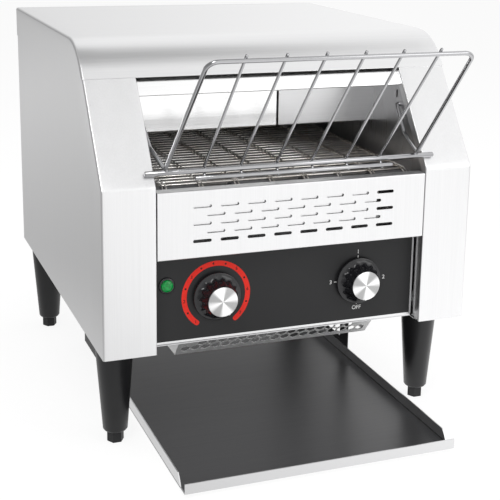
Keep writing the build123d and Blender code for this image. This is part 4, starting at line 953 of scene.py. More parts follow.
NODE_FINISHES = {
    panel_steel: ("vented_front_panel", "control_panel", "rear_panel"),
    cover_steel: ("slot_backing_plate", "front_baffle_right"),
    # The hood and the left baffle take the painted light sheet; the right baffle keeps plain cover
    # steel
    painted_light_baffle_steel: ("feed_hood", "front_baffle_left"),
    deflector_steel: ("toast_deflector",),
    inner_steel: ("base_pan", "inner_wall_left", "inner_wall_right", "control_heat_shield",
                  "upper_reflector", "lower_reflector", "discharge_chute"),
    shaft_steel: ("speed_shaft", "selector_shaft", "drive_shaft", "drive_sprockets", "drive_gear",
                  "drive_chain", "motor_sprocket"),
    overlay_film: ("control_overlay",),
    # The black finish on the tray guides is painted shade: they lie in shade under the casing
    fan_black: ("fan_frame", "fan_rotor", "speed_potentiometer", "cable_gland", "tray_guides"),
    pad_rubber: ("tray_pads",),
    nylon: ("terminal_block", "selector_switch"),
    ceramic: ("heater_end_caps", "thermal_cutout"),
    quartz_glass: ("heater_tubes_upper", "heater_tubes_lower"),
    zinc_plate: ("gear_motor", "motor_bracket"),
    screw_steel: ("casing_screws", "fan_guard"),
    sintered_bronze: ("shaft_bushes",),
}


# ---- Casing --------------------------------------------------------------------------------
def cover_skin(s):
    """Top cover as one skin.

    Its side view is a line up the slope, the large front bend, the flat, the rear bend and the
    rear skirt. Every section across it ends in a quarter round: at angle t of it a point lies
    r sin(t) outwards and r (1 - cos(t)) down. Towards the front's lower edge the sections lean
    until they lie level, which keeps that edge straight. The side skirt is ruled from the rounded
    edge to the skirt's lower edge, both walked through at an even share of their length.
    """
    proud = s.sheet + s.seam_gap

    def slope_y(z):
        """Y of the slope's outer face at height z."""
        return (s.run * (z - s.bend_height) - proud) / s.rise

    corners = [(slope_y(s.skirt_bottom), s.skirt_bottom), (slope_y(s.height), s.height),
               (s.depth, s.height), (s.depth, s.skirt_bottom)]
    bend_steps = 20
    line = bent(corners, (s.front_radius, s.rear_radius), steps=bend_steps)
    flat_start, flat_end = bend_steps + 1, bend_steps + 2
    front = np.linspace(line[0], line[1], 6)[:-1]
    flat = np.linspace(line[flat_start], line[flat_end], 14)[1:-1]
    line = np.vstack([front, line[1:flat_end], flat, line[flat_end:]])
    along = unit(np.gradient(line, axis=0))
    inward = np.stack([along[:, 1], -along[:, 0]], axis=1)
    level = np.clip(1 - np.linspace(0, 1, len(line)) * len(line) / len(front), 0, 1)
    inward = inward + along * (level * s.run / s.rise)[:, None]
    turn = np.linspace(0, math.pi / 2, 9)
    flat_x = np.linspace(0, s.half_width - s.edge_radius, 10)[:-1]
    x = np.concatenate([flat_x, s.half_width - s.edge_radius * (1 - np.sin(turn))])
    drop = np.concatenate([np.zeros(len(flat_x)), s.edge_radius * (1 - np.cos(turn))])
    top = line[:, None] + inward[:, None] * drop[None, :, None]
    edge = np.column_stack([top[:, -1, 0], np.maximum(top[:, -1, 1], s.skirt_bottom)])
    walked = np.concatenate([[0], np.cumsum(np.linalg.norm(np.diff(edge, axis=0), axis=1))])
    low = np.column_stack([edge[0, 0] + (edge[-1, 0] - edge[0, 0]) * walked / walked[-1],
                           np.full(len(edge), s.skirt_bottom)])
    t = np.linspace(0, 1, 5)[1:, None]
    skirt = edge[:, None] + (low - edge)[:, None] * t
    half = np.concatenate([np.maximum(top, [-np.inf, s.skirt_bottom]), skirt], axis=1)
    x = np.concatenate([x, np.full(len(t), s.half_width)])
    right = np.concatenate([np.broadcast_to(x[None, :, None], (*half.shape[:2], 1)), half], axis=2)
    left = (right * (-1, 1, 1))[:, :0:-1]
    return grid(np.concatenate([left, right], axis=1))


def front_line(s, z, depth):
    """Y of the casing's front at heights z, a given depth of metal behind it.

    It is the larger of the upright line and the sloping line, joined by the curve that half the
    sum plus half the root of the squared difference gives, and drawn forwards by a small share of
    the bend's softness.
    """
    drawn = 0.05 * s.bend_softness
    upright = np.broadcast_to(depth, np.broadcast(z, depth).shape)
    sloping = (depth + s.run * (z - s.bend_height)) / s.rise
    root = np.sqrt((upright - sloping) ** 2 + s.bend_softness ** 2)
    return (upright + sloping + root) / 2 - drawn


def side_skin(s):
    """Right side panel as one skin: the pillar's return, its face, the rounded edge and the side.

    Its level section is carried up from the lower edge; the front part follows the front line. The
    rows lie closest at the height of the crease.
    """
    outer = s.half_width - s.sheet - s.seam_gap
    inner = s.half_width - s.pillar_width
    radius, small = s.pillar_radius, s.pillar_inner_radius
    turn = np.linspace(0, math.pi / 2, 7)
    section = np.vstack([
        np.column_stack([np.full(3, inner), np.linspace(s.pillar_return, small, 3)]),
        np.column_stack([inner + small * (1 - np.cos(turn[1:])), small * (1 - np.sin(turn[1:]))]),
        np.column_stack([np.linspace(inner + small, outer - radius, 8)[1:], np.zeros(7)]),
        np.column_stack([outer - radius * (1 - np.sin(turn[1:])),
                         radius * (1 - np.cos(turn[1:]))])])
    crease_reach = 12 * MM
    near = s.bend_height + np.linspace(-1, 1, 17) ** 3 * crease_reach
    z = np.concatenate([np.linspace(0, near[0], 8)[:-1], near,
                        np.linspace(near[-1], s.panel_top, 8)[1:]])
    y = front_line(s, z[:, None], section[None, :, 1])
    front = np.stack([np.broadcast_to(section[None, :, 0], y.shape), y,
                      np.broadcast_to(z[:, None], y.shape)], axis=-1)
    t = np.linspace(0, 1, 9)[1:]
    side_y = y[:, -1:] + (s.panel_depth - y[:, -1:]) * t
    side = np.stack([np.full(side_y.shape, outer), side_y,
                     np.broadcast_to(z[:, None], side_y.shape)], axis=-1)
    return grid(np.concatenate([front, side], axis=1))


def bottom_flange(s):
    """Flange folded in along the side panel's lower edge."""
    outer = s.half_width - 2 * s.sheet - s.seam_gap
    inner = s.half_width - s.pillar_width
    corners = [(inner, s.sheet, 0), (outer, s.sheet, 0),
               (outer, s.panel_depth, 0), (inner, s.panel_depth, 0)]
    return flat_plate(corners, s.sheet, Z)


# ---- Wire pieces ---------------------------------------------------------------------------
def weld_pair(x, place, aside, radii):
    """A weld bead at either side of a wire that crosses another at (Y, Z)."""
    return [bead((x + sense * aside, *place), radii) for sense in (-1, 1)]


def rack_shape(r):
    """Feed rack: bent frame wire, long rod, short bar, inner wires and their weld beads.

    An inner wire's beads are shares of the wires that they join.
    """
    wire_aside, bead_share = 0.75, np.array([0.42, 0.5, 0.5])
    frame_aside, frame_bead = 0.8, np.array([1.1, 1.4, 1.4]) * MM
    gap = r.frame_wire + r.rod - r.vertex_sink
    vertex = (r.rod_y - gap * math.sin(r.lean), r.rod_z + gap * math.cos(r.lean))
    side = [(r.hook_x, r.hinge_y, r.hinge_z), (r.arm_x, r.hinge_y, r.hinge_z),
            (r.knee_x, r.knee_y, r.knee_z), (r.half_width, *vertex),
            (r.half_width - r.taper, r.top_y, r.top_z)]
    corners = side + [(-x, y, z) for x, y, z in reversed(side)]
    bends = (r.hook_bend, r.knee_bend, r.bend, r.corner)
    shapes = [tube(bent(corners, bends + bends[::-1], steps=10), r.frame_wire, sides=20)]
    top, rod, bar = np.array([(r.top_y, r.top_z), (r.rod_y, r.rod_z), (r.bar_y, r.bar_z)])
    for half, place, radius in ((r.rod_half, rod, r.rod), (r.bar_half, bar, r.bar)):
        shapes.append(tube([(x, *place) for x in (-half, 0, half)], radius, sides=20))
    along = unit(rod - top)
    inward = np.array([-along[1], along[0]])
    sunk = r.wire - r.weld
    start = top + inward * (r.frame_wire + sunk) - along * r.tip
    turn = rod + inward * (r.rod + sunk) + along * r.turn
    down = unit(bar - turn)
    end = bar + np.array([-down[1], down[0]]) * (r.bar + sunk) + down * r.wire
    for step in range(r.wires):
        x = (step - (r.wires - 1) / 2) * r.pitch
        shapes.append(tube(bent([(x, *start), (x, *turn), (x, *end)], r.bend, steps=6), r.wire,
                           sides=16, reference=X_AXIS))
        welds = [(top + inward * (r.frame_wire - r.weld / 2), r.frame_wire),
                 (rod + inward * (r.rod - r.weld / 2), r.rod), (bar + (end - bar) / 2, r.bar)]
        for place, radius in welds:
            shapes += weld_pair(x, place, r.wire * wire_aside, radius * bead_share)
    for x in (-r.half_width, r.half_width):
        shapes += weld_pair(x, (rod + vertex) / 2, r.frame_wire * frame_aside, frame_bead)
    return joined(shapes)


def belt_point(b, distance):
    """Side-view points of the belt's loop at distances along it.

    The loop is the top run backwards, half a turn round the drive shaft, the lower run forwards
    and half a turn round the idler.
    """
    run, half = b.drive_y - b.idler_y, math.pi * b.path_radius
    distance = np.mod(distance, 2 * (run + half))
    rear = math.pi / 2 - (distance - run) / b.path_radius
    front = -math.pi / 2 - (distance - 2 * run - half) / b.path_radius
    level = np.full(distance.shape, b.path_radius)
    stretches = [distance < run, distance < run + half, distance < 2 * run + half]
    y = np.select(stretches, [b.idler_y + distance, b.drive_y + b.path_radius * np.cos(rear),
                              b.drive_y - (distance - run - half)],
                  b.idler_y + b.path_radius * np.cos(front))
    z = np.select(stretches, [level, b.path_radius * np.sin(rear), -level],
                  b.path_radius * np.sin(front))
    return np.stack([y, b.axle_height + z], axis=-1)


def strand_shape(b, pitch):
    """One strand in its own frame, X across, Y towards the next strand, Z outwards.

    A straight wire runs across. From it, each hook's two legs rise over the next strand's wire and
    curl round it, joined at the curl's end. A leg bends at a share of the pitch and of the lift.
    """
    curl_start, curl_end = math.radians(80), math.radians(-25)
    leg_reach, leg_lift, slant = 0.25, 0.55, (0.0, 0.35, 1.0)
    wire = tube([(-b.half_width, 0, 0), (0, 0, 0), (b.half_width, 0, 0)], b.wire, sides=8)
    curl = np.linspace(curl_start, curl_end, 4)
    leg = np.vstack([[(0, 0)], [(pitch * leg_reach, b.hook_lift * leg_lift)],
                     np.column_stack([pitch + b.hook_lift * np.cos(curl),
                                      b.hook_lift * np.sin(curl)])])
    near = np.column_stack([np.full(len(leg), -b.hook_half), leg])
    far = near[::-1] * (-1, 1, 1)
    hook = tube(np.vstack([near, far]), b.hook_wire, sides=5, reference=slant, rounding=0.1)
    first = b.half_width - b.edge
    columns = [first * (2 * column / (b.columns - 1) - 1) for column in range(b.columns)]
    return joined([wire] + [(hook[0] + (x, 0, 0), hook[1]) for x in columns])


def belt_shape(b):
    """Every strand set on the belt's loop and turned towards the next one."""
    loop = 2 * (b.drive_y - b.idler_y + math.pi * b.path_radius)
    pitch = loop / b.strands
    here = belt_point(b, np.arange(b.strands) * pitch)
    ahead = belt_point(b, (np.arange(b.strands) + 1) * pitch)
    strands = []
    for place, chord in zip(here, ahead - here):
        points, faces = strand_shape(b, np.linalg.norm(chord))
        outward = np.array([-chord[1], chord[0]])
        turned_points = points[:, 1:2] * unit(chord) + points[:, 2:3] * unit(outward)
        strands.append((np.column_stack([points[:, 0], turned_points + place]), faces))
    return joined(strands)


def idler_shaft_shape(b):
    """Front shaft with chamfered ends."""
    chamfer = 0.8 * MM
    profile = [(b.shaft - chamfer, -b.shaft_half), (b.shaft, -b.shaft_half + chamfer), (b.shaft, 0),
               (b.shaft, b.shaft_half - chamfer), (b.shaft - chamfer, b.shaft_half)]
    return turned(profile, (0, b.idler_y, b.axle_height), X, sides=40)


def sleeves_shape(b):
    """Support sleeves: short drums with rounded rims, bored for the shaft."""
    rim, bore, half = 0.9 * MM, b.shaft + FIT, b.sleeve_width / 2
    turn = np.linspace(0, math.pi / 2, 5)
    quarter = np.column_stack([b.sleeve - rim * (1 - np.cos(turn)),
                               half - rim * (1 - np.sin(turn))])
    profile = np.vstack([[(bore, half)], quarter[::-1], quarter * (1, -1), [(bore, -half)]])
    places = [(step - (b.sleeves - 1) / 2) * b.sleeve_pitch for step in range(b.sleeves)]
    return joined(turned(profile, (x, b.idler_y, b.axle_height), X, sides=56, ring=True)
                  for x in places)


# ---- Knobs, lamp and print -----------------------------------------------------------------
def knob_shape(k, x):
    """Fluted knob: a profile of radii along its axis, turned about it.

    On the grip each radius loses the flute depth times (1 + cos(n t)) / 2 at angle t, n flutes
    round, and that depth fades out at the skirt's flare and at the nose. A row holds its radius,
    its place along the axis and its share of the flutes' depth.
    """
    nose, seat = k.back - k.reach, k.back - k.reach + k.cap_recess
    rim, rim_cut, nose_cut = 0.7 * MM, 0.3, 1.4 * MM
    flare_end = k.back - k.skirt_thickness
    grip_start = flare_end - k.flare
    cavity_end = k.back - k.cavity_depth
    flare_turn = np.linspace(0, math.pi / 2, 8)
    flare = np.column_stack([k.grip + (k.skirt - rim - k.grip) * (1 - np.sin(flare_turn)),
                             flare_end - k.flare * (1 - np.cos(flare_turn)),
                             np.sin(flare_turn) ** 2])
    steps, fade_in, fade_out, nose_share = np.linspace(0, 1, 9)[1:], 5, 6, 0.35
    fading = np.clip(steps * fade_in, 0, 1) * np.clip((1 - steps) * fade_out + nose_share, 0, 1)
    grip = np.column_stack([k.grip + (k.nose - k.grip) * steps,
                            grip_start + (nose + nose_cut - grip_start) * steps, fading])
    back = [(PIN, cavity_end - k.bore_depth), (k.bore, cavity_end - k.bore_depth),
            (k.bore, cavity_end), (k.cavity, cavity_end), (k.cavity, k.back),
            (k.skirt - rim, k.back), (k.skirt - rim * rim_cut, k.back - rim * rim_cut),
            (k.skirt, k.back - rim), (k.skirt, flare_end + rim),
            (k.skirt - rim * rim_cut, flare_end + rim * rim_cut)]
    front = [(k.nose - 0.35 * MM, nose + 0.35 * MM, 0.25), (k.nose - 0.75 * MM, nose, 0.1),
             (k.cap + 0.08 * MM, nose, 0), (k.cap + FIT, seat, 0), (PIN, seat, 0)]
    rows = np.vstack([[(*place, 0) for place in back], flare, grip, front])
    turn = np.linspace(0, FULL_TURN, k.flutes * 10, endpoint=False)
    flute = k.flute_depth * (1 + np.cos(k.flutes * turn)) / 2
    radius = rows[:, 0, None] - rows[:, 2, None] * flute
    points = np.stack([x + radius * np.sin(turn), np.broadcast_to(rows[:, 1, None], radius.shape),
                       k.height + radius * np.cos(turn)], axis=-1)
    return grid(points, wrap_columns=True, cap_rows=True)


def cap_shape(k, x):
    """Turned cap with a small rounded rim."""
    seat = k.back - k.reach + k.cap_recess
    front = seat - k.cap_thickness
    chamfer, rim, rim_cut = 0.1 * MM, 0.4 * MM, 0.12 * MM
    profile = [(PIN, seat), (k.cap - chamfer, seat), (k.cap, seat - chamfer), (k.cap, front + rim),
               (k.cap - rim_cut, front + rim_cut), (k.cap - rim, front), (PIN, front)]
    return turned(profile, (x, 0, k.height), Y, sides=96)


def pointer_shape(k, x, turn):
    """White line along the grip: a strip that follows the grip's side and folds over its nose."""
    nose = k.back - k.reach
    on_grip = np.array([(k.cap, nose), (k.nose, nose), (k.nose, nose), (k.nose, nose),
                        (k.grip, k.back - k.skirt_thickness - k.flare)])
    proud = np.array([(0.1, -0.05), (-0.7, -0.08), (-0.2, 0.3), (0.15, 1.3), (0.12, 0)]) * MM
    depth = np.array([(0, -0.3), (0.1, -0.3), (0.3, -0.2), (0.4, 0), (0.4, 0)]) * MM
    line = on_grip + proud
    outline = np.vstack([line, (line - depth)[::-1]])
    out = np.array([math.sin(turn), 0, -math.cos(turn)])
    across = np.array([math.cos(turn), 0, math.sin(turn)]) * k.pointer_width / 2
    centre = np.array([x, 0, k.height]) + outline[:, :1] * out + outline[:, 1:] * Y_AXIS
    return carried_across(line, np.stack([centre - across, centre + across]))


def arc_band(p, x, z):
    """Dial arc: a band between two radii round the knob, with round ends, as thick as the ink."""
    middle, half = p.arc_outer - p.arc_width / 2, p.arc_width / 2
    turn = np.linspace(p.arc_start, p.arc_end, 120)
    circle = np.column_stack([np.sin(turn), np.cos(turn)])
    outer, inner = circle * p.arc_outer, circle * (p.arc_outer - p.arc_width)
    cap = np.linspace(0, math.pi, 9)[1:-1]

    def rounded(end, sense):
        """Half circle that closes the band at one end."""
        out = np.array([math.sin(end), math.cos(end)])
        along = np.array([math.cos(end), -math.sin(end)]) * sense
        return out * middle + half * (np.cos(cap)[:, None] * out + np.sin(cap)[:, None] * along)

    outline = np.vstack([outer, rounded(p.arc_end, 1), inner[::-1], rounded(p.arc_start, -1)[::-1]])
    front = np.column_stack([x + outline[:, 0], np.full(len(outline), p.face - p.ink),
                             z + outline[:, 1]])
    points, faces = grid(np.stack([front, front + Y_AXIS * p.ink]), wrap_columns=True)
    rows, total, round_end = len(turn), len(outline), np.arange(len(cap) + 2)
    outer_index = np.arange(rows)
    inner_index = rows + len(cap) + np.arange(rows)[::-1]
    band = np.stack([outer_index[:-1], outer_index[1:], inner_index[1:], inner_index[:-1]], axis=1)
    right_cap = (rows - 1 + round_end)[None]
    left_cap = (-round_end % total)[None]
    flats = [band, right_cap, left_cap]
    return points, faces + flats + [flat[:, ::-1] + total for flat in flats]


def dot_shape(p, x, z):
    """Printed dot that stands on the arc and reaches a little into it."""
    turn = np.linspace(0, FULL_TURN, 20, endpoint=False)
    thickness = 0.8 * p.ink
    front = np.full(len(turn), p.face - p.mark_front * p.ink)
    outline = np.column_stack([x + p.dot * np.cos(turn), front, z + p.dot * np.sin(turn)])
    return flat_plate(outline, thickness, Y)


def tick_shape(p, x, z, turn):
    """Printed tick whose long side points away from an axis at (x, z)."""
    out = np.array([math.sin(turn), math.cos(turn)])
    across = np.array([math.cos(turn), -math.sin(turn)]) * p.tick_width / 2
    ends = [out * (p.tick_reach + sense * p.tick_length / 2) for sense in (-1, 1)]
    corners = np.array([ends[0] - across, ends[1] - across, ends[1] + across, ends[0] + across])
    outline = np.column_stack([x + corners[:, 0], np.full(4, p.face - p.ink), z + corners[:, 1]])
    return flat_plate(outline, p.ink, Y)


def lettering(text, size, x, z, face, thickness):
    """Plain characters as a closed shape that stands on a face, centred at (x, z)."""
    boldness = 0.012
    curve = bpy.data.curves.new("lettering", "FONT")
    curve.body = text
    curve.size = size
    curve.extrude = thickness / 2
    curve.align_x = "CENTER"
    curve.align_y = "CENTER"
    curve.offset = size * boldness
    writer = bpy.data.objects.new("lettering", curve)
    bpy.context.scene.collection.objects.link(writer)
    bpy.context.view_layer.update()
    mesh = bpy.data.meshes.new_from_object(
        writer.evaluated_get(bpy.context.evaluated_depsgraph_get()))
    local = np.zeros(len(mesh.vertices) * 3)
    mesh.vertices.foreach_get("co", local)
    local = local.reshape(-1, 3)
    faces = [np.array([list(polygon.vertices)]) for polygon in mesh.polygons]
    bpy.data.objects.remove(writer)
    bpy.data.meshes.remove(mesh)
    points = np.column_stack([x + local[:, 0], face - thickness / 2 - local[:, 2], z + local[:, 1]])
    return points, faces


def lens_shape(n, overlay_face):
    """Faceted lens: rows of a many-sided outline that shrink towards a small flat front.

    Each row of the dome is a share of the lens's radius and of its rise behind the front.
    """
    dome = ((1.0, 0.75), (0.90, 0.42), (0.62, 0.10), (0.42, 0.0))
    front, back = overlay_face - n.bezel_thickness - n.rise, overlay_face + n.body_length
    rows = [(PIN, back), (n.body, back), (n.body, overlay_face), (n.lens, overlay_face)]
    rows += [(n.lens * wide, front + n.rise * behind) for wide, behind in dome]
    return turned(rows + [(PIN, front)], (n.x, 0, n.z), Y, sides=n.facets)


def bezel_shape(n, overlay_face):
    """Bezel ring with a rounded front."""
    inner, radius = n.lens + FIT, 1.5 * MM
    turn = np.linspace(0, math.pi / 2, 6)
    rounded = np.column_stack([n.bezel - radius * (1 - np.cos(turn)),
                               overlay_face - n.bezel_thickness + radius * (1 - np.sin(turn))])
    profile = np.vstack([[(inner, overlay_face), (n.bezel, overlay_face)], rounded,
                         [(inner, overlay_face - n.bezel_thickness)]])
    return turned(profile, (n.x, 0, n.z), Y, sides=64, ring=True)


# ---- Tray and feet -------------------------------------------------------------------------
def tray_shape(t):
    """Collection tray: folded floor with lip and rear wall, two side walls with slanted fronts."""
    corners = [(t.front, t.floor + t.lip), (t.front, t.floor),
               (t.back, t.floor), (t.back, t.floor + t.wall)]
    floor = folded_sheet(bent(corners, t.bend, steps=6), t.sheet, -t.half_width, t.half_width)
    start, end = t.front + t.wall_stop, t.back - t.sheet
    sunk, slant = t.floor + t.sheet * 0.2, t.wall * 0.6
    outline = [(start - t.chamfer, sunk), (start - t.chamfer, t.floor + t.sheet),
               (start - t.chamfer / 2, t.floor + slant), (start, t.floor + t.wall),
               (end, t.floor + t.wall), (end, sunk)]
    wall = flat_plate([(t.half_width - t.sheet, y, z) for y, z in outline], t.sheet, X)
    return joined([floor, wall, mirrored(wall)])


def foot_shape(f, x, y):
    """Tapered foot with a rounded upper rim and a chamfered lower end, bored for its screw."""
    bore, rim, edge, room = f.stem + FIT, 1.2 * MM, 0.1 * MM, 2 * MM
    bore_end = f.bottom + f.stem_length + room
    bulge_in, bulge_up, rim_in = f.chamfer * 0.45, f.chamfer * 0.35, rim * 0.2
    profile = [(PIN, bore_end), (bore, bore_end), (bore, f.bottom), (f.low - f.chamfer, f.bottom),
               (f.low - bulge_in, f.bottom + bulge_up), (f.low, f.bottom + f.chamfer),
               (f.top - rim_in, -rim), (f.top, -edge), (f.top, 0), (PIN, 0)]
    return turned(profile, (x, y, 0), Z, sides=56)


def adjuster_shape(f, x, y):
    """Adjuster: hexagonal head with drawn-in edges and a screw up into the foot."""
    gap, inset = 0.3 * MM, 0.6 * MM
    top = f.bottom - gap
    head = turned([(f.hexagon - inset, f.ground), (f.hexagon, f.ground + inset),
                   (f.hexagon, top - inset), (f.hexagon - inset, top)], (x, y, 0), Z, sides=6)
    stem = turned([(f.stem, top - inset), (f.stem, top + f.stem_length)], (x, y, 0), Z, sides=24)
    return joined([head, stem])


# ---- Operators -----------------------------------------------------------------------------
class TOASTER_OT_frame_finishes(bpy.types.Operator):
    """Gives every piece of the frame that stays in sight its own finish"""
    bl_idname = "toaster.frame_finishes"
    bl_label = "Frame finishes"

    def execute(self, context):
        for maker, names in NODE_FINISHES.items():
            for name in names:
                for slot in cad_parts[name].material_slots:
                    slot.material = maker()
        return {"FINISHED"}


class TOASTER_OT_casing(bpy.types.Operator):
    """Bends the top cover and the two side panels with their flanges from sheet"""
    bl_idname = "toaster.casing"
    bl_label = "Casing"

    def execute(self, context):
        s = context.scene.toaster_casing
        cover = piece("cover", cover_skin(s), cover_steel(), replaces=["top_cover"],
                      outward=Z_AXIS)
        thicken(cover, s.sheet)
        for name, side, shape in (("right", 1, side_skin(s)), ("left", -1, mirrored(side_skin(s)))):
            panel = piece(f"{name}_side_panel", shape, panel_steel(),
                          replaces=[f"side_panel_{name}"], outward=side * X_AXIS)
            thicken(panel, s.sheet)
        flange = bottom_flange(s)
        piece("bottom_flanges", joined([flange, mirrored(flange)]), panel_steel())
        return {"FINISHED"}


class TOASTER_OT_rack(bpy.types.Operator):
    """Bends and welds the feed rack"""
    bl_idname = "toaster.rack"
    bl_label = "Feed rack"

    def execute(self, context):
        piece("wire_rack", rack_shape(context.scene.toaster_rack), rack_chrome(), body="feed_rack",
              replaces=["feed_rack"], crease=60)
        return {"FINISHED"}


class TOASTER_OT_belt(bpy.types.Operator):
    """Links the wire belt and turns its front shaft and sleeves"""
    bl_idname = "toaster.belt"
    bl_label = "Belt and idler"

    def execute(self, context):
        b = context.scene.toaster_belt
        piece("wire_belt", belt_shape(b), belt_steel(), replaces=["conveyor_belt"],
              crease=70)
        piece("front_shaft", idler_shaft_shape(b), shaft_steel(), body="idler",
              replaces=["idler_shaft"])
        piece("front_sleeves", sleeves_shape(b), sleeve_coat(), body="idler",
              replaces=["idler_sleeves"])
        return {"FINISHED"}


class TOASTER_OT_knobs(bpy.types.Operator):
    """Moulds the two knobs and sets their turned caps and white pointers"""
    bl_idname = "toaster.knobs"
    bl_label = "Knobs"

    def execute(self, context):
        k = context.scene.toaster_knob
        for name, x, turn in (("speed", -k.spread, k.speed_turn),
                              ("selector", k.spread, k.selector_turn)):
            body = f"{name}_knob"
            piece(f"{name}_grip", knob_shape(k, x), knob_black(), body=body, replaces=[body],
                  crease=40)
            centre = np.array([x, 0, k.height]) + CORNER
            # The cap's material paints the spun face's reflection as light and grey wedges
            spun = painted_reflection_spun_metal(f"{name}_painted_reflection_spun_metal", context.scene.toaster_colours.cap, centre)
            piece(f"{name}_cap", cap_shape(k, x), spun, body=body, replaces=[f"{name}_knob_cap"])
            piece(f"{name}_pointer", pointer_shape(k, x, turn), white_ink(), body=body)
        return {"FINISHED"}


class TOASTER_OT_print(bpy.types.Operator):
    """Prints the dial arc, its dots and numbers, and the selector's marks on the overlay"""
    bl_idname = "toaster.print"
    bl_label = "Control print"

    def execute(self, context):
        p, k = context.scene.toaster_print, context.scene.toaster_knob
        piece("dial_arc", arc_band(p, -k.spread, k.height), red_ink())
        marks, middle = [], p.arc_outer - p.arc_width / 2
        turns = np.linspace(p.mark_first, p.mark_last, 2 * p.digits - 1)
        for step, turn in enumerate(turns):
            x, z = -k.spread + middle * math.sin(turn), k.height + middle * math.cos(turn)
            if step % 2:
                marks.append(dot_shape(p, x, z))
            else:
                marks.append(lettering(str(step // 2 + 1), p.digit_size, x, z,
                                       p.face - (p.mark_front - 1) * p.ink, p.ink))
        piece("dial_marks", joined(marks), black_ink())
        words = []
        for text, degrees in SELECTOR_MARKS.items():
            turn = math.radians(degrees)
            x, z = (k.spread + p.word_reach * math.sin(turn),
                    k.height + p.word_reach * math.cos(turn))
            words.append(lettering(text, p.word_size, x, z, p.face, p.ink))
            words.append(tick_shape(p, k.spread, k.height, turn))
        piece("selector_marks", joined(words), white_ink())
        return {"FINISHED"}


class TOASTER_OT_lamp(bpy.types.Operator):
    """Cuts the green lens and turns its dark bezel"""
    bl_idname = "toaster.lamp"
    bl_label = "Indicator lamp"

    def execute(self, context):
        n, face = context.scene.toaster_lamp, context.scene.toaster_print.face
        piece("green_lens", lens_shape(n, face), lamp_glass(), replaces=["lamp_lens"],
              crease=12)
        piece("dark_bezel", bezel_shape(n, face), knob_black(), replaces=["lamp_bezel"])
        return {"FINISHED"}


class TOASTER_OT_tray(bpy.types.Operator):
    """Folds the collection tray"""
    bl_idname = "toaster.tray"
    bl_label = "Collection tray"

    def execute(self, context):
        piece("catch_tray", tray_shape(context.scene.toaster_tray), tray_steel(),
              body="collection_tray", replaces=["collection_tray"])
        return {"FINISHED"}


class TOASTER_OT_feet(bpy.types.Operator):
    """Moulds the four feet and their adjusters"""
    bl_idname = "toaster.feet"
    bl_label = "Feet"

    def execute(self, context):
        f = context.scene.toaster_foot
        corners = [(end, side, sense * f.x, y)
                   for end, y in (("front", f.front_y), ("rear", f.rear_y))
                   for side, sense in (("left", -1), ("right", 1))]
        piece("black_feet", joined(foot_shape(f, x, y) for _, _, x, y in corners), foot_black(),
              replaces=["foot_bodies"])
        for end, side, x, y in corners:
            body = f"adjuster_{end}_{side}"
            piece(f"{end}_{side}_screw_foot", adjuster_shape(f, x, y), adjuster_black(), body=body,
                  replaces=[body], crease=25)
        return {"FINISHED"}


class TOASTER_OT_stage(bpy.types.Operator):
    """Sets the floor, the room, the lamps and the camera"""
    bl_idname = "toaster.stage"
    bl_label = "Stage"

    def execute(self, context):
        g = context.scene.toaster_stage
        make_floor(g)
        make_room(g)
        softbox("overhead_softbox", *OVERHEAD_SOFTBOX, g.overhead, mirrored_too=False)
        softbox("front_softbox", *FRONT_SOFTBOX, g.fill)
        softbox("strip_softbox", *STRIP_SOFTBOX, g.strip)
        place_camera(g)
        context.scene.view_settings.view_transform = "Standard"
        return {"FINISHED"}


# ---- Stage ---------------------------------------------------------------------------------
def gradient(tree, vector, g):
    """Level from the dark to the bright side by how far a vector reaches right, forwards and up."""
    return ramp(tree, reach(tree, vector, BRIGHT_DIRECTION), *BRIGHT_RANGE,
                g.dark_level, g.bright_level)


def floor_level(tree, place, g):
    """Level of the floor: the gradient, or what it rises to far behind, whichever is more.

    To the right of the casing it falls off again.
    """
    behind = ramp(tree, parts_of(tree, place)["Y"], *REAR_RANGE, g.dark_level, g.rear_level)
    beside = ramp(tree, reach(tree, place, RIGHT_DIRECTION), *RIGHT_RANGE, 1.0, g.right_level)
    return maths(tree, "MULTIPLY", maths(tree, "MAXIMUM", gradient(tree, place, g), behind), beside)


def room_level(tree, direction, g):
    """Level of the room: the gradient, dimmed towards the point straight above."""
    dimmed = ramp(tree, parts_of(tree, direction)["Z"], *ZENITH_RANGE,
                  g.room_level, g.room_level * g.zenith_level)
    return maths(tree, "MULTIPLY", gradient(tree, direction, g), dimmed)


def ray_kinds(tree):
    """Two factors: 1 for the camera's own rays, and 1 for rays that mirror or pass through."""
    rays = node(tree, "ShaderNodeLightPath", {}).outputs
    mirror = maths(tree, "MAXIMUM", rays["Is Glossy Ray"], rays["Is Transmission Ray"])
    return rays["Is Camera Ray"], mirror


def emission(tree, level):
    """Plain white light of the given level."""
    return node(tree, "ShaderNodeEmission", {"Strength": level}).outputs[0]


def backdrop(tree, level):
    """White room light of the given level."""
    return node(tree, "ShaderNodeBackground", {"Color": WHITE, "Strength": level}).outputs[0]


def mixed(tree, factor, first, second):
    """Two shaders mixed by a factor."""
    return node(tree, "ShaderNodeMixShader", {0: factor, 1: first, 2: second}).outputs[0]


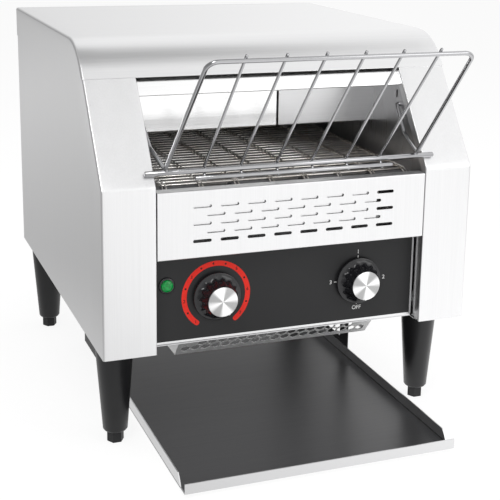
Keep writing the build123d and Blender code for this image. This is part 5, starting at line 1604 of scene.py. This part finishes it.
def make_floor(g):
    """Pale floor that keeps a soft shadow; metal mirrors it as a gradient."""
    steps = np.linspace(-g.floor_half, g.floor_half, 5)
    x, y = np.meshgrid(steps, steps, indexing="ij")
    points, faces = grid(np.stack([x, y, np.zeros_like(x)], axis=-1))
    mesh = bpy.data.meshes.new("floor")
    mesh.from_pydata(points.tolist(), [], np.vstack(faces).tolist())
    material = bpy.data.materials.new("floor")
    material.use_nodes = True
    tree = material.node_tree
    tree.nodes.remove(tree.nodes["Principled BSDF"])
    matt = node(tree, "ShaderNodeBsdfDiffuse", {"Color": (*g.floor_tone, 1)}).outputs[0]
    place = node(tree, "ShaderNodeTexCoord", {}).outputs["Object"]
    camera, mirror = ray_kinds(tree)
    shown = mixed(tree, g.shadow_share, emission(tree, g.backdrop_level), matt)
    seen = mixed(tree, camera, matt, shown)
    final = mixed(tree, mirror, seen, emission(tree, floor_level(tree, place, g)))
    tree.links.new(final, tree.nodes["Material Output"].inputs["Surface"])
    mesh.materials.append(material)
    floor = bpy.data.objects.new("floor", mesh)
    bpy.context.scene.collection.objects.link(floor)


def make_room(g):
    """White room: white to the camera, a gradient to metal, and an even soft light to the rest."""
    world = bpy.data.worlds.new("room")
    bpy.context.scene.world = world
    world.use_nodes = True
    tree = world.node_tree
    tree.nodes.clear()
    direction = node(tree, "ShaderNodeTexCoord", {}).outputs["Generated"]
    camera, mirror = ray_kinds(tree)
    seen = mixed(tree, camera, backdrop(tree, g.ambient), backdrop(tree, 1.0))
    final = mixed(tree, mirror, seen, backdrop(tree, room_level(tree, direction, g)))
    node(tree, "ShaderNodeOutputWorld", {"Surface": final})


def softbox(name, place, target, size, level, mirrored_too=True):
    """Rectangular lamp aimed at a point; its power is its level times pi times its area."""
    lamp = bpy.data.lights.new(name, "AREA")
    lamp.shape = "RECTANGLE"
    lamp.size, lamp.size_y = size
    lamp.energy = level * math.pi * size[0] * size[1]
    holder = bpy.data.objects.new(name, lamp)
    holder.visible_glossy = mirrored_too
    bpy.context.scene.collection.objects.link(holder)
    back = unit(np.array(place, float) - np.array(target, float))
    right = unit(np.cross(Z_AXIS, back))
    turn = np.column_stack([right, np.cross(back, right), back])
    holder.matrix_world = Matrix.Translation(place) @ Matrix(turn.tolist()).to_4x4()


def place_camera(g):
    """Camera from its place, heading, tilt and roll, with a small shift."""
    right = np.array([math.cos(g.heading), -math.sin(g.heading), 0])
    forward = np.array([math.sin(g.heading) * math.cos(g.tilt),
                        math.cos(g.heading) * math.cos(g.tilt), math.sin(g.tilt)])
    up = np.cross(right, forward)
    rolled = right * math.cos(g.roll) + up * math.sin(g.roll)
    turn = np.column_stack([rolled, np.cross(rolled, forward), -forward])
    data = bpy.data.cameras.new("camera")
    data.lens = g.lens
    data.sensor_width = 36.0
    data.shift_x, data.shift_y = g.shift_x, g.shift_y
    camera = bpy.data.objects.new("camera", data)
    bpy.context.scene.collection.objects.link(camera)
    place = (g.camera_x, g.camera_y, g.camera_z)
    camera.matrix_world = Matrix.Translation(place) @ Matrix(turn.tolist()).to_4x4()
    bpy.context.scene.camera = camera


OPERATORS = (TOASTER_OT_frame_finishes, TOASTER_OT_casing, TOASTER_OT_rack, TOASTER_OT_belt,
             TOASTER_OT_knobs, TOASTER_OT_print, TOASTER_OT_lamp, TOASTER_OT_tray, TOASTER_OT_feet,
             TOASTER_OT_stage)

GROUPS = {"toaster_casing": CasingSizes, "toaster_belt": BeltSizes, "toaster_rack": RackSizes,
          "toaster_knob": KnobSizes, "toaster_print": PrintSizes, "toaster_lamp": LampSizes,
          "toaster_tray": TraySizes, "toaster_foot": FootSizes, "toaster_colours": Colours,
          "toaster_stage": StageSettings}


class TOASTER_PT_panel(bpy.types.Panel):
    """Sidebar panel with every piece of the toaster and its sizes"""
    bl_idname = "TOASTER_PT_panel"
    bl_label = "Conveyor toaster"
    bl_space_type = "VIEW_3D"
    bl_region_type = "UI"
    bl_category = "Toaster"

    def draw(self, context):
        for operator in OPERATORS:
            self.layout.operator(operator.bl_idname)
        for name, group in GROUPS.items():
            box = self.layout.box()
            box.label(text=group.__doc__)
            for size in group.__annotations__:
                box.prop(getattr(context.scene, name), size)


def register():
    """Registers the size groups, the operators and the panel."""
    for name, group in GROUPS.items():
        bpy.utils.register_class(group)
        setattr(bpy.types.Scene, name, PointerProperty(type=group))
    for kind in (*OPERATORS, TOASTER_PT_panel):
        bpy.utils.register_class(kind)


def unregister():
    """Takes back what register did."""
    for kind in (TOASTER_PT_panel, *reversed(OPERATORS)):
        bpy.utils.unregister_class(kind)
    for name, group in reversed(GROUPS.items()):
        delattr(bpy.types.Scene, name)
        bpy.utils.unregister_class(group)


def main():
    """Builds every piece and the stage."""
    register()
    bpy.ops.toaster.frame_finishes()
    bpy.ops.toaster.casing()
    bpy.ops.toaster.rack()
    bpy.ops.toaster.belt()
    bpy.ops.toaster.knobs()
    bpy.ops.toaster.print()
    bpy.ops.toaster.lamp()
    bpy.ops.toaster.tray()
    bpy.ops.toaster.feet()
    bpy.ops.toaster.stage()


if __name__ == "__main__":
    main()
